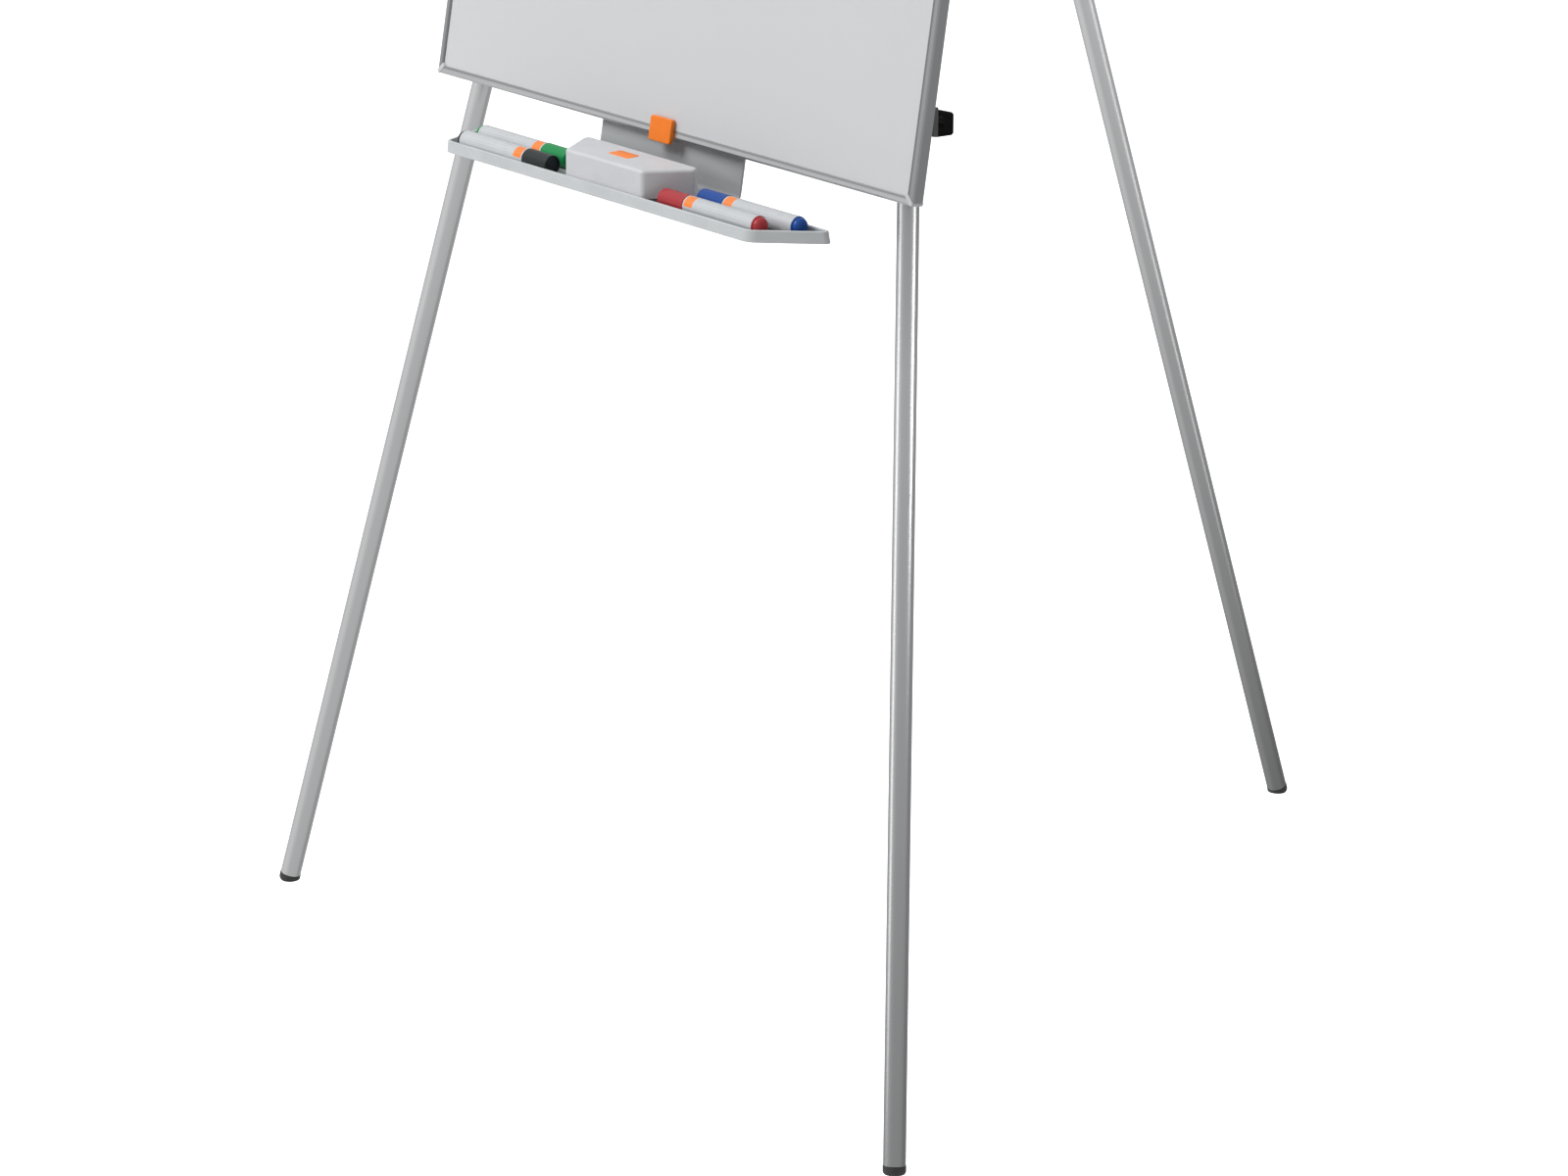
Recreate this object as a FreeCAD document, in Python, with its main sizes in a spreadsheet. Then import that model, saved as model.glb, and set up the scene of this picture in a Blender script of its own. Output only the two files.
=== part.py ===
import FreeCAD, Part
import math
import os

import Sketcher
from FreeCAD import Placement, Rotation, Vector

# Tripod flipchart easel.  Origin: on the floor, in the middle of the footprint.
# +X is the right-hand side of somebody facing the board, +Y points to the rear leg,
# +Z is up.  Everything on the board is drawn in the board frame: x as above, y square
# to the board and pointing back, z up the slope, from the line through the front feet.

SIZES = [
    ("lean", 9.75, "lean of the front legs and the board, degrees"),
    ("splay", 9.93, "splay of each front leg within the board plane, degrees"),
    ("half_span", 452, "centre line to a front foot"),
    ("rear_reach", 922, "front feet to rear foot, along the floor"),
    ("middle_back", 460.745, "front feet to the middle of the footprint"),
    ("hinge_back", 43.5, "rear leg pivot behind the front leg plane"),
    ("hinge_up", 1795.6, "rear leg pivot up the slope"),
    ("board_wide", 690, "outer width of the board frame"),
    ("board_tall", 1000, "outer height of the board frame"),
    ("board_low", 822, "bottom edge of the board up the slope"),
    ("board_front", -28.5, "front of the board frame, from the leg plane"),
    ("board_thick", 12.5, "depth of the frame profile"),
    ("lip", 8, "width of the frame lip"),
    ("lip_thick", 1.2, "thickness of the frame lips"),
    ("web_thick", 1.4, "thickness of the frame's outer web"),
    ("panel_inset", 3.6, "frame edge to panel edge"),
    ("skin", 0.3, "thickness of each steel skin"),
    ("mitre_gap", 3, "frame corner to the start of each mitre"),
    ("corner_round", 2.8, "outer radius of the corner caps"),
    ("cap_proud", 0.4, "corner cap in front of the rails"),
    ("tongue_long", 28, "corner cap tongue inside the rail"),
    ("upper_rad", 12.5, "upper leg tube radius"),
    ("lower_rad", 10, "lower leg tube radius"),
    ("tube_wall", 1.2, "wall of the leg tubes"),
    ("bush_rad", 11.22, "sliding bush radius"),
    ("bush_long", 24, "sliding bush length"),
    ("grip_gap", 0.05, "radial gap of a seated tube"),
    ("collar_mid", 902.6, "foot to clamp collar, along a front leg"),
    ("rear_collar_mid", 940.6, "foot to clamp collar, along the rear leg"),
    ("collar_tall", 26, "height of the collar's clamp block"),
    ("collar_rad", 15, "outer radius of the collar"),
    ("sleeve_tall", 14, "collar sleeve above the clamp block"),
    ("block_wide", 24, "width of the collar's clamp block"),
    ("block_back", 26, "tube axis to the back of the clamp block"),
    ("overlap", 142, "lower tube top above the collar"),
    ("tube_top", 1822, "foot to the top of an upper tube"),
    ("stud_rad", 3, "clamp knob stud radius"),
    ("knob_start", 26.6, "tube axis to the front of the knob"),
    ("knob_hub_rad", 8, "radius of the knob's hub"),
    ("wing_start", 29, "tube axis to the start of the wing"),
    ("wing_end", 49.5, "tube axis to the end of the wing"),
    ("wing_root", 25, "wing height at the hub"),
    ("wing_tip", 20, "wing height at the end"),
    ("wing_thick", 10, "wing thickness"),
    ("saddle_low", 960, "underside of a saddle, along a front leg"),
    ("saddle_tall", 30, "height of a saddle"),
    ("saddle_half", 32, "half width of a saddle's foot plate"),
    ("saddle_screw_at", 24, "saddle screws, either side of the tube"),
    ("flange_back", -12, "back of the flanges on the board, from the leg plane"),
    ("ring_wall", 3, "wall of the rings round the upper tubes"),
    ("foot_band", 6.5, "height of the foot plug below the tube"),
    ("foot_rad", 10.3, "foot plug radius"),
    ("foot_sink", 2, "foot plug length below the floor before trimming"),
    ("foot_round", 4, "rounding of the foot plug"),
    ("stem_rad", 8.75, "foot plug stem radius"),
    ("stem_long", 22, "foot plug stem length"),
    ("tray_front", 27, "front edge of the tray"),
    ("tray_deep", 56.4, "tray depth"),
    ("tray_left_front", 220, "centre line to the tray's front left corner"),
    ("tray_left_back", 239, "centre line to the tray's back left corner"),
    ("tray_right_front", 222.5, "centre line to the tray's front right corner"),
    ("tray_right_back", 279, "centre line to the tray's back right corner"),
    ("tray_low", 773, "underside of the tray"),
    ("tray_tall", 11, "height of the tray rim"),
    ("tray_wall", 3, "tray wall and floor"),
    ("tray_draft", 4, "draft of the tray wall, degrees"),
    ("tray_left_round", 9, "front left corner radius of the tray"),
    ("tray_right_round", 19, "front right corner radius of the tray"),
    ("tray_back_round", 5, "back corner radius of the tray"),
    ("tray_screw_at", 70, "tray screws, either side of the middle"),
    ("tray_screw_back", 62, "tray screws, behind the line of the front feet"),
    ("tray_screw_rad", 1.5, "tray screw hole radius"),
    ("hanger_wide", 205.5, "width of the tray bracket"),
    ("hanger_thick", 2, "sheet of the tray bracket"),
    ("hanger_top", 884, "top of the tray bracket up the slope"),
    ("hanger_reach", 44, "front end of the tray bracket's shelf"),
    ("hanger_screw_at", 80, "tray bracket screws, either side of the middle"),
    ("hanger_screw_low", 845, "lower row of tray bracket screws"),
    ("hanger_screw_high", 872, "upper row of tray bracket screws"),
    ("bend_rad", 7, "inner bend radius of the tray bracket"),
    ("eraser_mid", 13.5, "eraser centre line"),
    ("eraser_front", 31.4, "front face of the eraser"),
    ("eraser_deep", 47.6, "eraser depth"),
    ("eraser_half_front", 55.8, "half width of the eraser front"),
    ("eraser_half_back", 85.4, "half width of the eraser back"),
    ("eraser_tall", 26, "height of the eraser's grip"),
    ("eraser_wall", 3, "wall of the hollow grip"),
    ("eraser_round", 6, "radius of the eraser's upright corners"),
    ("eraser_edge", 3.2, "radius of the eraser's top edge"),
    ("felt_tall", 6, "height of the felt pad"),
    ("felt_inset", 1.5, "felt pad inside the grip's outline"),
    ("marker_long", 138.5, "marker length"),
    ("marker_rad", 9, "marker barrel radius"),
    ("marker_cap_rad", 9.3, "marker cap radius"),
    ("marker_cap_long", 35, "marker cap length"),
    ("marker_dome", 8, "marker end plug outside the barrel"),
    ("marker_bore", 7.5, "marker barrel bore radius"),
    ("badge_wide", 31, "badge width"),
    ("badge_tall", 22.8, "badge height"),
    ("badge_low", 816.6, "bottom of the badge up the slope"),
    ("badge_thick", 4, "badge thickness"),
    ("badge_round", 2.8, "badge corner radius"),
    ("rail_half", 335, "half length of the pad rail"),
    ("rail_size", 18, "pad rail height and depth"),
    ("rail_wall", 1.5, "pad rail wall"),
    ("rail_front", -32.5, "front of the pad rail"),
    ("rail_skirt", 22, "pad rail skirt behind the board"),
    ("rail_screw_at", 250, "outer rail screws, either side of the middle"),
    ("slot_tall", 6, "slot in the front of the pad rail"),
    ("hook_at", 200, "pad hooks, either side of the middle"),
    ("peg_rad", 5, "pad peg radius"),
    ("peg_long", 22, "pad peg length"),
    ("peg_flange_rad", 9, "pad peg flange radius"),
    ("peg_flange_thick", 2.6, "pad peg flange thickness"),
    ("slider_wide", 22, "width of a pad hook's slider"),
    ("clamp_half", 314, "half length of the clamp bar"),
    ("clamp_axis_front", -36.25, "clamp bar pivot, from the leg plane"),
    ("clamp_axis_up", 1806, "clamp bar pivot up the slope"),
    ("clamp_low", 1770, "bottom of the clamp bar"),
    ("pin_rad", 2, "clamp pivot pin radius"),
    ("pin_gap", 0.06, "radial gap round a clamp pin"),
    ("spring_wire", 0.8, "wire of the clamp springs"),
    ("bar_barrel_rad", 4.2, "radius of the clamp bar's barrel"),
    ("ear_in", 322, "inner face of a clamp bracket"),
    ("ear_thick", 3, "thickness of a clamp bracket"),
    ("ear_foot", 21, "width of a clamp bracket's foot"),
    ("ear_tall", 16, "height of a clamp bracket's ear"),
    ("head_half", 165, "half width of the head bracket"),
    ("head_low", 1760, "bottom of the head bracket"),
    ("head_top", 1798, "top of the head bracket"),
    ("head_screw_up", 1767, "head bracket screws up the slope"),
    ("head_screw_in", 50, "inner head screws, either side of the middle"),
    ("head_screw_out", 112, "outer head screws, either side of the middle"),
    ("socket_tall", 40, "height of the head's leg sockets"),
    ("rib_half", 132, "half length of the head's ribs"),
    ("fork_half", 17, "half gap of the head bracket's fork"),
    ("fork_thick", 4, "thickness of each fork ear"),
    ("fork_rad", 12, "radius of the fork ears"),
    ("pivot_rad", 4, "rear leg pivot bolt radius"),
    ("nut_rad", 7.5, "pivot nut and bolt head, centre to corner"),
    ("screw_rad", 2, "board screw radius"),
    ("screw_head_rad", 3.6, "board screw head radius"),
    ("screw_head_tall", 2.2, "board screw head height"),
    ("screw_long", 9, "board screw length in the panel"),
]

doc = FreeCAD.newDocument("flipchart_easel")
dim = doc.addObject("Spreadsheet::Sheet", "dim")
for row, (alias, number, meaning) in enumerate(SIZES, start=1):
    dim.set("A%d" % row, alias)
    dim.set("B%d" % row, str(number))
    dim.set("C%d" % row, meaning)
    dim.setAlias("B%d" % row, alias)
doc.recompute()

parts = []


def value(formula):
    """The number that a formula over the sheet's cells gives."""
    result = dim.evalExpression(str(formula))
    return float(getattr(result, "Value", result))


def bind(thing, **formulas):
    """Bind properties of an object to formulas over the sheet."""
    for name, formula in formulas.items():
        thing.setExpression(name, str(formula))
    return thing


def put(thing, x=0, y=0, z=0, turn=None):
    """Place a building block inside its sub-part, by formulas over the sheet."""
    thing.Placement = Placement(Vector(value(x), value(y), value(z)), turn or Rotation())
    for axis, formula in (("x", x), ("y", y), ("z", z)):
        thing.setExpression("Placement.Base." + axis, str(formula))
    return thing


def keep(thing, label, frame=Placement()):
    """Make an object a sub-part standing in its frame: its label names its file."""
    thing.Label = label
    for axis in "xyz":
        thing.setExpression("Placement.Base." + axis, None)
    thing.Placement = HOME.multiply(frame).multiply(thing.Placement)
    parts.append(thing)
    return thing


def both_sides(formula):
    """A distance to the left and to the right of the middle."""
    return (-value(formula), value(formula))


# ---------------------------------------------------------------- building blocks

def box(x, y, z, wide, deep, tall):
    """Box from its lowest corner, every number a formula."""
    block = bind(doc.addObject("Part::Box", "box"), Length=wide, Width=deep, Height=tall)
    return put(block, x, y, z)


TURNS = {
    "x": Rotation(Vector(0, 1, 0), 90),
    "y": Rotation(Vector(1, 0, 0), -90),
    "z": Rotation(),
    "-x": Rotation(Vector(0, 1, 0), -90),
    "-y": Rotation(Vector(1, 0, 0), 90),
}


def rod(along, x, y, z, radius, length):
    """Cylinder from the middle of its first end, pointing along an axis."""
    block = bind(doc.addObject("Part::Cylinder", "rod"), Radius=radius, Height=length)
    return put(block, x, y, z, TURNS[along])


def hexagon(along, x, y, z, corner_rad, length):
    block = bind(doc.addObject("Part::Prism", "hexagon"), Circumradius=corner_rad, Height=length)
    block.Polygon = 6
    return put(block, x, y, z, TURNS[along])


def fuse(*blocks):
    whole = doc.addObject("Part::MultiFuse", "fuse")
    whole.Shapes = list(blocks)
    whole.Refine = True
    return whole


def cut(base, *tools):
    whole = doc.addObject("Part::Cut", "cut")
    whole.Base = base
    whole.Tool = tools[0] if len(tools) == 1 else fuse(*tools)
    whole.Refine = True
    return whole


def group(*blocks):
    """Separate solids in one sub-part."""
    whole = doc.addObject("Part::Compound", "group")
    whole.Links = list(blocks)
    return whole


def mirror(base, normal):
    whole = doc.addObject("Part::Mirroring", "mirror")
    whole.Source = base
    whole.Normal = normal
    return whole


# ---------------------------------------------------------------- sketches and features

def new_body(name):
    return doc.addObject("PartDesign::Body", name + "_body")


def sketch(body, role, offset=0):
    """Sketch on one of the body's own origin planes, moved along its normal."""
    drawing = body.newObject("Sketcher::SketchObject", "sketch")
    plane = [feature for feature in body.Origin.OriginFeatures if feature.Role == role][0]
    drawing.AttachmentSupport = [(plane, "")]
    drawing.MapMode = "FlatFace"
    drawing.AttachmentOffset = Placement(Vector(0, 0, value(offset)), Rotation())
    drawing.setExpression("AttachmentOffset.Base.z", str(offset))
    return drawing


def outline(drawing, corners):
    """Closed outline of straight lines; every corner is a pair of formulas."""
    spots = [Vector(value(across), value(up), 0) for across, up in corners]
    count = len(spots)
    for index in range(count):
        drawing.addGeometry(Part.LineSegment(spots[index], spots[(index + 1) % count]))
    for index in range(count):
        drawing.addConstraint(Sketcher.Constraint("Coincident", index, 2, (index + 1) % count, 1))
    for index, formulas in enumerate(corners):
        for kind, formula, number in zip(("DistanceX", "DistanceY"), formulas, spots[index]):
            if number == 0:
                axis = -2 if kind == "DistanceX" else -1
                drawing.addConstraint(Sketcher.Constraint("PointOnObject", index, 1, axis))
                continue
            tag = drawing.addConstraint(Sketcher.Constraint(kind, -1, 1, index, 1, number))
            drawing.setExpression("Constraints[%d]" % tag, str(formula))
    return drawing


def pad(body, drawing, length, both_ways=False, backwards=False, taper=None):
    feature = body.newObject("PartDesign::Pad", "pad")
    feature.Profile = drawing
    bind(feature, Length=length)
    feature.Midplane = both_ways
    feature.Reversed = backwards
    if taper:
        bind(feature, TaperAngle=taper)
    doc.recompute()
    return feature


def pocket(body, drawing, length=None, both_ways=False, backwards=False):
    before = body.Shape.Volume
    feature = body.newObject("PartDesign::Pocket", "pocket")
    feature.Profile = drawing
    feature.Midplane = both_ways
    feature.Reversed = backwards
    if length is None:
        feature.Type = "ThroughAll"
    else:
        bind(feature, Length=length)
    doc.recompute()
    if not body.Shape.Volume < before:
        raise ValueError("a pocket in %s cuts nothing" % body.Name)
    return feature


def revolve(body, drawing, axis):
    feature = body.newObject("PartDesign::Revolution", "turned")
    feature.Profile = drawing
    feature.ReferenceAxis = (drawing, [axis])
    feature.Angle = 360
    doc.recompute()
    return feature


def edges_where(shape, test):
    """Names of the edges whose middle point and direction pass a test."""
    names = []
    for number, edge in enumerate(shape.Edges, start=1):
        middle = edge.valueAt((edge.FirstParameter + edge.LastParameter) / 2)
        if test(middle, edge):
            names.append("Edge%d" % number)
    if not names:
        raise ValueError("no edge passes the test")
    return names


def round_off(body, radius, test):
    base = body.Tip
    feature = body.newObject("PartDesign::Fillet", "rounding")
    feature.Base = (base, edges_where(base.Shape, test))
    bind(feature, Radius=radius)
    doc.recompute()
    if "Invalid" in feature.State:
        raise ValueError("a rounding in %s failed" % body.Name)
    return feature


def near(number, target, slack=0.02):
    return abs(number - target) < slack


def straight(edge):
    return edge.Curve.TypeId == "Part::GeomLine"


def upright(edge):
    """Whether an edge climbs nearly straight up, drafted or not."""
    climb = abs(edge.Vertexes[-1].Z - edge.Vertexes[0].Z)
    return climb > 0.9 * edge.Length


def runs_along(edge, axis):
    """Whether a straight edge runs along x, y or z."""
    return straight(edge) and abs(getattr(edge.tangentAt(edge.FirstParameter), axis)) > 0.999


# ---------------------------------------------------------------- frames of reference

HOME = Placement(Vector(0, -value("dim.middle_back"), 0), Rotation())
lean = value("dim.lean")
splay = value("dim.splay")
BOARD = Placement(Vector(0, 0, 0), Rotation(Vector(1, 0, 0), -lean))
LEGS = {}
for side, sign in (("left", -1), ("right", 1)):
    foot_at = Placement(Vector(sign * value("dim.half_span"), 0, 0),
                        Rotation(Vector(0, 1, 0), -sign * splay))
    LEGS[side] = BOARD.multiply(foot_at)
hinge = BOARD.multVec(Vector(0, value("dim.hinge_back"), value("dim.hinge_up")))
rear_drop = hinge.z
rear_run = value("dim.rear_reach") - hinge.y
rear_long = math.hypot(rear_drop, rear_run)
rear_tilt = math.degrees(math.atan2(rear_run, rear_drop))
LEGS["rear"] = Placement(Vector(0, value("dim.rear_reach"), 0), Rotation(Vector(1, 0, 0), rear_tilt))
COLLAR_MID = {"left": "dim.collar_mid", "right": "dim.collar_mid", "rear": "dim.rear_collar_mid"}


# ---------------------------------------------------------------- board

SHEET_BACK = "(dim.board_front + dim.board_thick - dim.lip_thick)"
RAIL_SCREW_UP = "(dim.board_low + dim.board_tall - 16)"


def screws():
    """Frame of each board screw and its head's seat: across, back and up."""
    flange = value("dim.flange_back")
    places = []
    for side in ("left", "right"):
        for across in both_sides("dim.saddle_screw_at"):
            places.append((LEGS[side], across, flange, value("dim.saddle_low + dim.saddle_tall / 2")))
    for across in both_sides("dim.head_screw_in") + both_sides("dim.head_screw_out"):
        places.append((BOARD, across, flange, value("dim.head_screw_up")))
    for across in both_sides("dim.rail_screw_at") + (0,):
        places.append((BOARD, across, value("dim.rail_front + dim.rail_size"), value(RAIL_SCREW_UP)))
    for across in both_sides("dim.hanger_screw_at"):
        for up in ("dim.hanger_screw_low", "dim.hanger_screw_high"):
            back = value("dim.board_front + dim.board_thick + dim.hanger_thick")
            places.append((BOARD, across, back, value(up)))
    return places


def screw_placement(frame, across, back, up):
    return frame.multiply(Placement(Vector(across, back, up), TURNS["-y"]))


def screw_shank_at(place):
    """A shank in board coordinates, for drilling the panel."""
    shank = bind(doc.addObject("Part::Cylinder", "drill"), Radius="dim.screw_rad")
    shank.Height = 20
    shank.Placement = BOARD.inverse().multiply(screw_placement(*place))
    return shank


def panel_layer(label, front, thick, drilled):
    half = "(dim.board_wide / 2 - dim.panel_inset)"
    layer = box("-" + half, front, "dim.board_low + dim.panel_inset",
                "2 * " + half, thick, "dim.board_tall - 2 * dim.panel_inset")
    if drilled:
        layer = cut(layer, *[screw_shank_at(place) for place in screws()])
    return keep(layer, label, BOARD)


def make_panel():
    sheet_front = "(dim.board_front + dim.lip_thick)"
    inside = "(dim.board_thick - 2 * dim.lip_thick)"
    core_front = sheet_front + " + dim.skin"
    back_front = sheet_front + " + " + inside + " - dim.skin"
    panel_layer("writing_sheet", sheet_front, "dim.skin", False)
    panel_layer("board_core", core_front, inside + " - 2 * dim.skin", True)
    panel_layer("back_sheet", back_front, "dim.skin", True)


def make_rail(label, length, frame):
    """Mitred channel; x along it, y to the back, z from its outer edge inwards."""
    body = new_body(label)
    half = "(%s / 2 - dim.mitre_gap)" % length
    face = outline(sketch(body, "XZ_Plane"), [
        ("-" + half, 0),
        (half, 0),
        (half + " - dim.lip", "dim.lip"),
        ("-" + half + " + dim.lip", "dim.lip"),
    ])
    pad(body, face, "dim.board_thick", backwards=True)
    channel = outline(sketch(body, "YZ_Plane"), [
        ("dim.lip_thick", "dim.web_thick"),
        ("dim.board_thick - dim.lip_thick", "dim.web_thick"),
        ("dim.board_thick - dim.lip_thick", "dim.lip + 1"),
        ("dim.lip_thick", "dim.lip + 1"),
    ])
    pocket(body, channel, both_ways=True)
    deep = value("dim.board_thick")
    round_off(body, 2.2, lambda p, e: runs_along(e, "x") and near(p.y, 0) and near(p.z, 0))
    round_off(body, 1, lambda p, e: runs_along(e, "x") and near(p.y, deep) and near(p.z, 0))
    lip = value("dim.lip")
    round_off(body, 0.5, lambda p, e: runs_along(e, "x") and near(p.y, 0) and near(p.z, lip))
    return keep(body, label, frame)


def make_frame_rails():
    front = value("dim.board_front")
    low = value("dim.board_low")
    high = low + value("dim.board_tall")
    middle = (low + high) / 2
    half = value("dim.board_wide / 2")
    places = {
        "frame_bottom": (0, low, 0, "dim.board_wide"),
        "frame_top": (0, high, 180, "dim.board_wide"),
        "frame_left": (-half, middle, 90, "dim.board_tall"),
        "frame_right": (half, middle, -90, "dim.board_tall"),
    }
    for label, (across, up, turn, length) in places.items():
        spot = Placement(Vector(across, front, up), Rotation(Vector(0, 1, 0), turn))
        make_rail(label, length, BOARD.multiply(spot))


def make_corner_caps():
    """Corner connector: a mitre band with a rounded corner and a tongue in each rail."""
    body = new_body("corner_cap")
    band = outline(sketch(body, "XZ_Plane", "dim.cap_proud"), [
        (0, 0),
        ("dim.mitre_gap", 0),
        ("dim.mitre_gap + dim.lip", "dim.lip"),
        ("dim.lip", "dim.mitre_gap + dim.lip"),
        (0, "dim.mitre_gap"),
    ])
    pad(body, band, "dim.board_thick + dim.cap_proud", backwards=True)
    seat = outline(sketch(body, "XZ_Plane", "-dim.lip_thick"), [
        ("dim.panel_inset", "dim.panel_inset"),
        ("dim.lip + 20", "dim.panel_inset"),
        ("dim.lip + 20", "dim.lip + 20"),
        ("dim.panel_inset", "dim.lip + 20"),
    ])
    pocket(body, seat, "dim.board_thick - 2 * dim.lip_thick")
    edge = "(dim.web_thick + 0.1)"
    tongue = outline(sketch(body, "XZ_Plane", "-dim.lip_thick - 0.1"), [
        (edge, edge),
        ("dim.tongue_long", edge),
        ("dim.tongue_long", "dim.panel_inset - 0.1"),
        ("dim.panel_inset - 0.1", "dim.panel_inset - 0.1"),
        ("dim.panel_inset - 0.1", "dim.tongue_long"),
        (edge, "dim.tongue_long"),
    ])
    pad(body, tongue, "dim.board_thick - 2 * dim.lip_thick - 0.2", backwards=True)
    round_off(body, "dim.corner_round", lambda p, e: runs_along(e, "y") and near(p.x, 0) and near(p.z, 0))
    front = value("-dim.cap_proud")
    round_off(body, 0.7, lambda p, e: near(p.y, front) and p.x < 3 and p.z < 3)
    half = "dim.board_wide / 2"
    put(body, "-" + half, "dim.board_front", "dim.board_low - (2 * dim.board_low + dim.board_tall) / 2")
    low_left = group(body)
    low_right = mirror(low_left, Vector(1, 0, 0))
    lower = group(low_left, low_right)
    upper = mirror(lower, Vector(0, 0, 1))
    caps = put(group(lower, upper), 0, 0, "dim.board_low + dim.board_tall / 2")
    keep(caps, "corner_caps", BOARD)


def make_badge():
    """Plain rounded plate on the bottom lip."""
    body = new_body("board_badge")
    half = "dim.badge_wide / 2"
    face = outline(sketch(body, "XZ_Plane", "-dim.board_front"), [
        ("-" + half, "dim.badge_low"),
        (half, "dim.badge_low"),
        (half, "dim.badge_low + dim.badge_tall"),
        ("-" + half, "dim.badge_low + dim.badge_tall"),
    ])
    pad(body, face, "dim.badge_thick")
    round_off(body, "dim.badge_round", lambda p, e: runs_along(e, "y"))
    front = value("dim.board_front - dim.badge_thick")
    round_off(body, 0.9, lambda p, e: near(p.y, front))
    keep(body, "board_badge", BOARD)


def make_screws():
    """Pan head screws through the back sheet into the core."""
    whole = []
    for place in screws():
        gap = place[2] - value(SHEET_BACK)
        head = rod("z", 0, 0, "-dim.screw_head_tall", "dim.screw_head_rad", "dim.screw_head_tall")
        shank = rod("z", 0, 0, -1, "dim.screw_rad - dim.grip_gap", "1 + dim.screw_long + (%s)" % gap)
        recess = rod("z", 0, 0, "-dim.screw_head_tall - 0.1", 1.3, 1.2)
        screw = cut(fuse(head, shank), recess)
        screw.Placement = screw_placement(*place)
        whole.append(screw)
    keep(group(*whole), "board_screws")


# ---------------------------------------------------------------- pad rail, hooks and clamp

def make_pad_rail():
    body = new_body("pad_rail")
    low = "(dim.board_low + dim.board_tall)"
    high = "(%s + dim.rail_size)" % low
    front = "dim.rail_front"
    back = "(dim.rail_front + dim.rail_size)"
    slot_low = "(%s + dim.rail_size / 2 - dim.slot_tall / 2)" % low
    slot_high = "(%s + dim.slot_tall)" % slot_low
    wall = "dim.rail_wall"
    section = outline(sketch(body, "YZ_Plane"), [
        (front, low),
        (back + " - " + wall, low),
        (back + " - " + wall, low + " - dim.rail_skirt"),
        (back, low + " - dim.rail_skirt"),
        (back, high),
        (front, high),
        (front, slot_high),
        (front + " + " + wall, slot_high),
        (front + " + " + wall, high + " - " + wall),
        (back + " - " + wall, high + " - " + wall),
        (back + " - " + wall, low + " + " + wall),
        (front + " + " + wall, low + " + " + wall),
        (front + " + " + wall, slot_low),
        (front, slot_low),
    ])
    pad(body, section, "2 * dim.rail_half", both_ways=True)
    face = value(front)
    top = value(high)
    bottom = value(low)
    round_off(body, 1.2, lambda p, e: runs_along(e, "x") and near(p.y, face)
              and (near(p.z, top) or near(p.z, bottom)))
    holes = []
    for across in both_sides("dim.rail_screw_at") + (0,):
        holes.append(rod("y", across, back + " - 3", RAIL_SCREW_UP, "dim.screw_rad", 6))
    keep(cut(body, *holes), "pad_rail", BOARD)


def make_pad_hooks():
    """Slider in the rail, neck through its slot, and a round-ended peg for the pad's holes."""
    middle = "(dim.board_low + dim.board_tall + dim.rail_size / 2)"
    room = "(dim.rail_size - 2 * dim.rail_wall - 0.4)"
    for side, sign in (("left", -1), ("right", 1)):
        across = "%d * dim.hook_at" % sign
        slider = box(across + " - dim.slider_wide / 2", "dim.rail_front + dim.rail_wall + 0.2",
                     middle + " - %s / 2" % room, "dim.slider_wide", room, room)
        neck = box(across + " - 7", "dim.rail_front - 1", middle + " - dim.slot_tall / 2 + 0.2",
                   14, 4, "dim.slot_tall - 0.4")
        flange = rod("-y", across, "dim.rail_front - 0.2", middle,
                     "dim.peg_flange_rad", "dim.peg_flange_thick")
        peg = rod("-y", across, "dim.rail_front - 1", middle, "dim.peg_rad", "dim.peg_long")
        tip = put(bind(doc.addObject("Part::Sphere", "tip"), Radius="dim.peg_rad"),
                  across, "dim.rail_front - 1 - dim.peg_long", middle)
        keep(fuse(slider, neck, flange, peg, tip), "pad_hook_" + side, BOARD)


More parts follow.
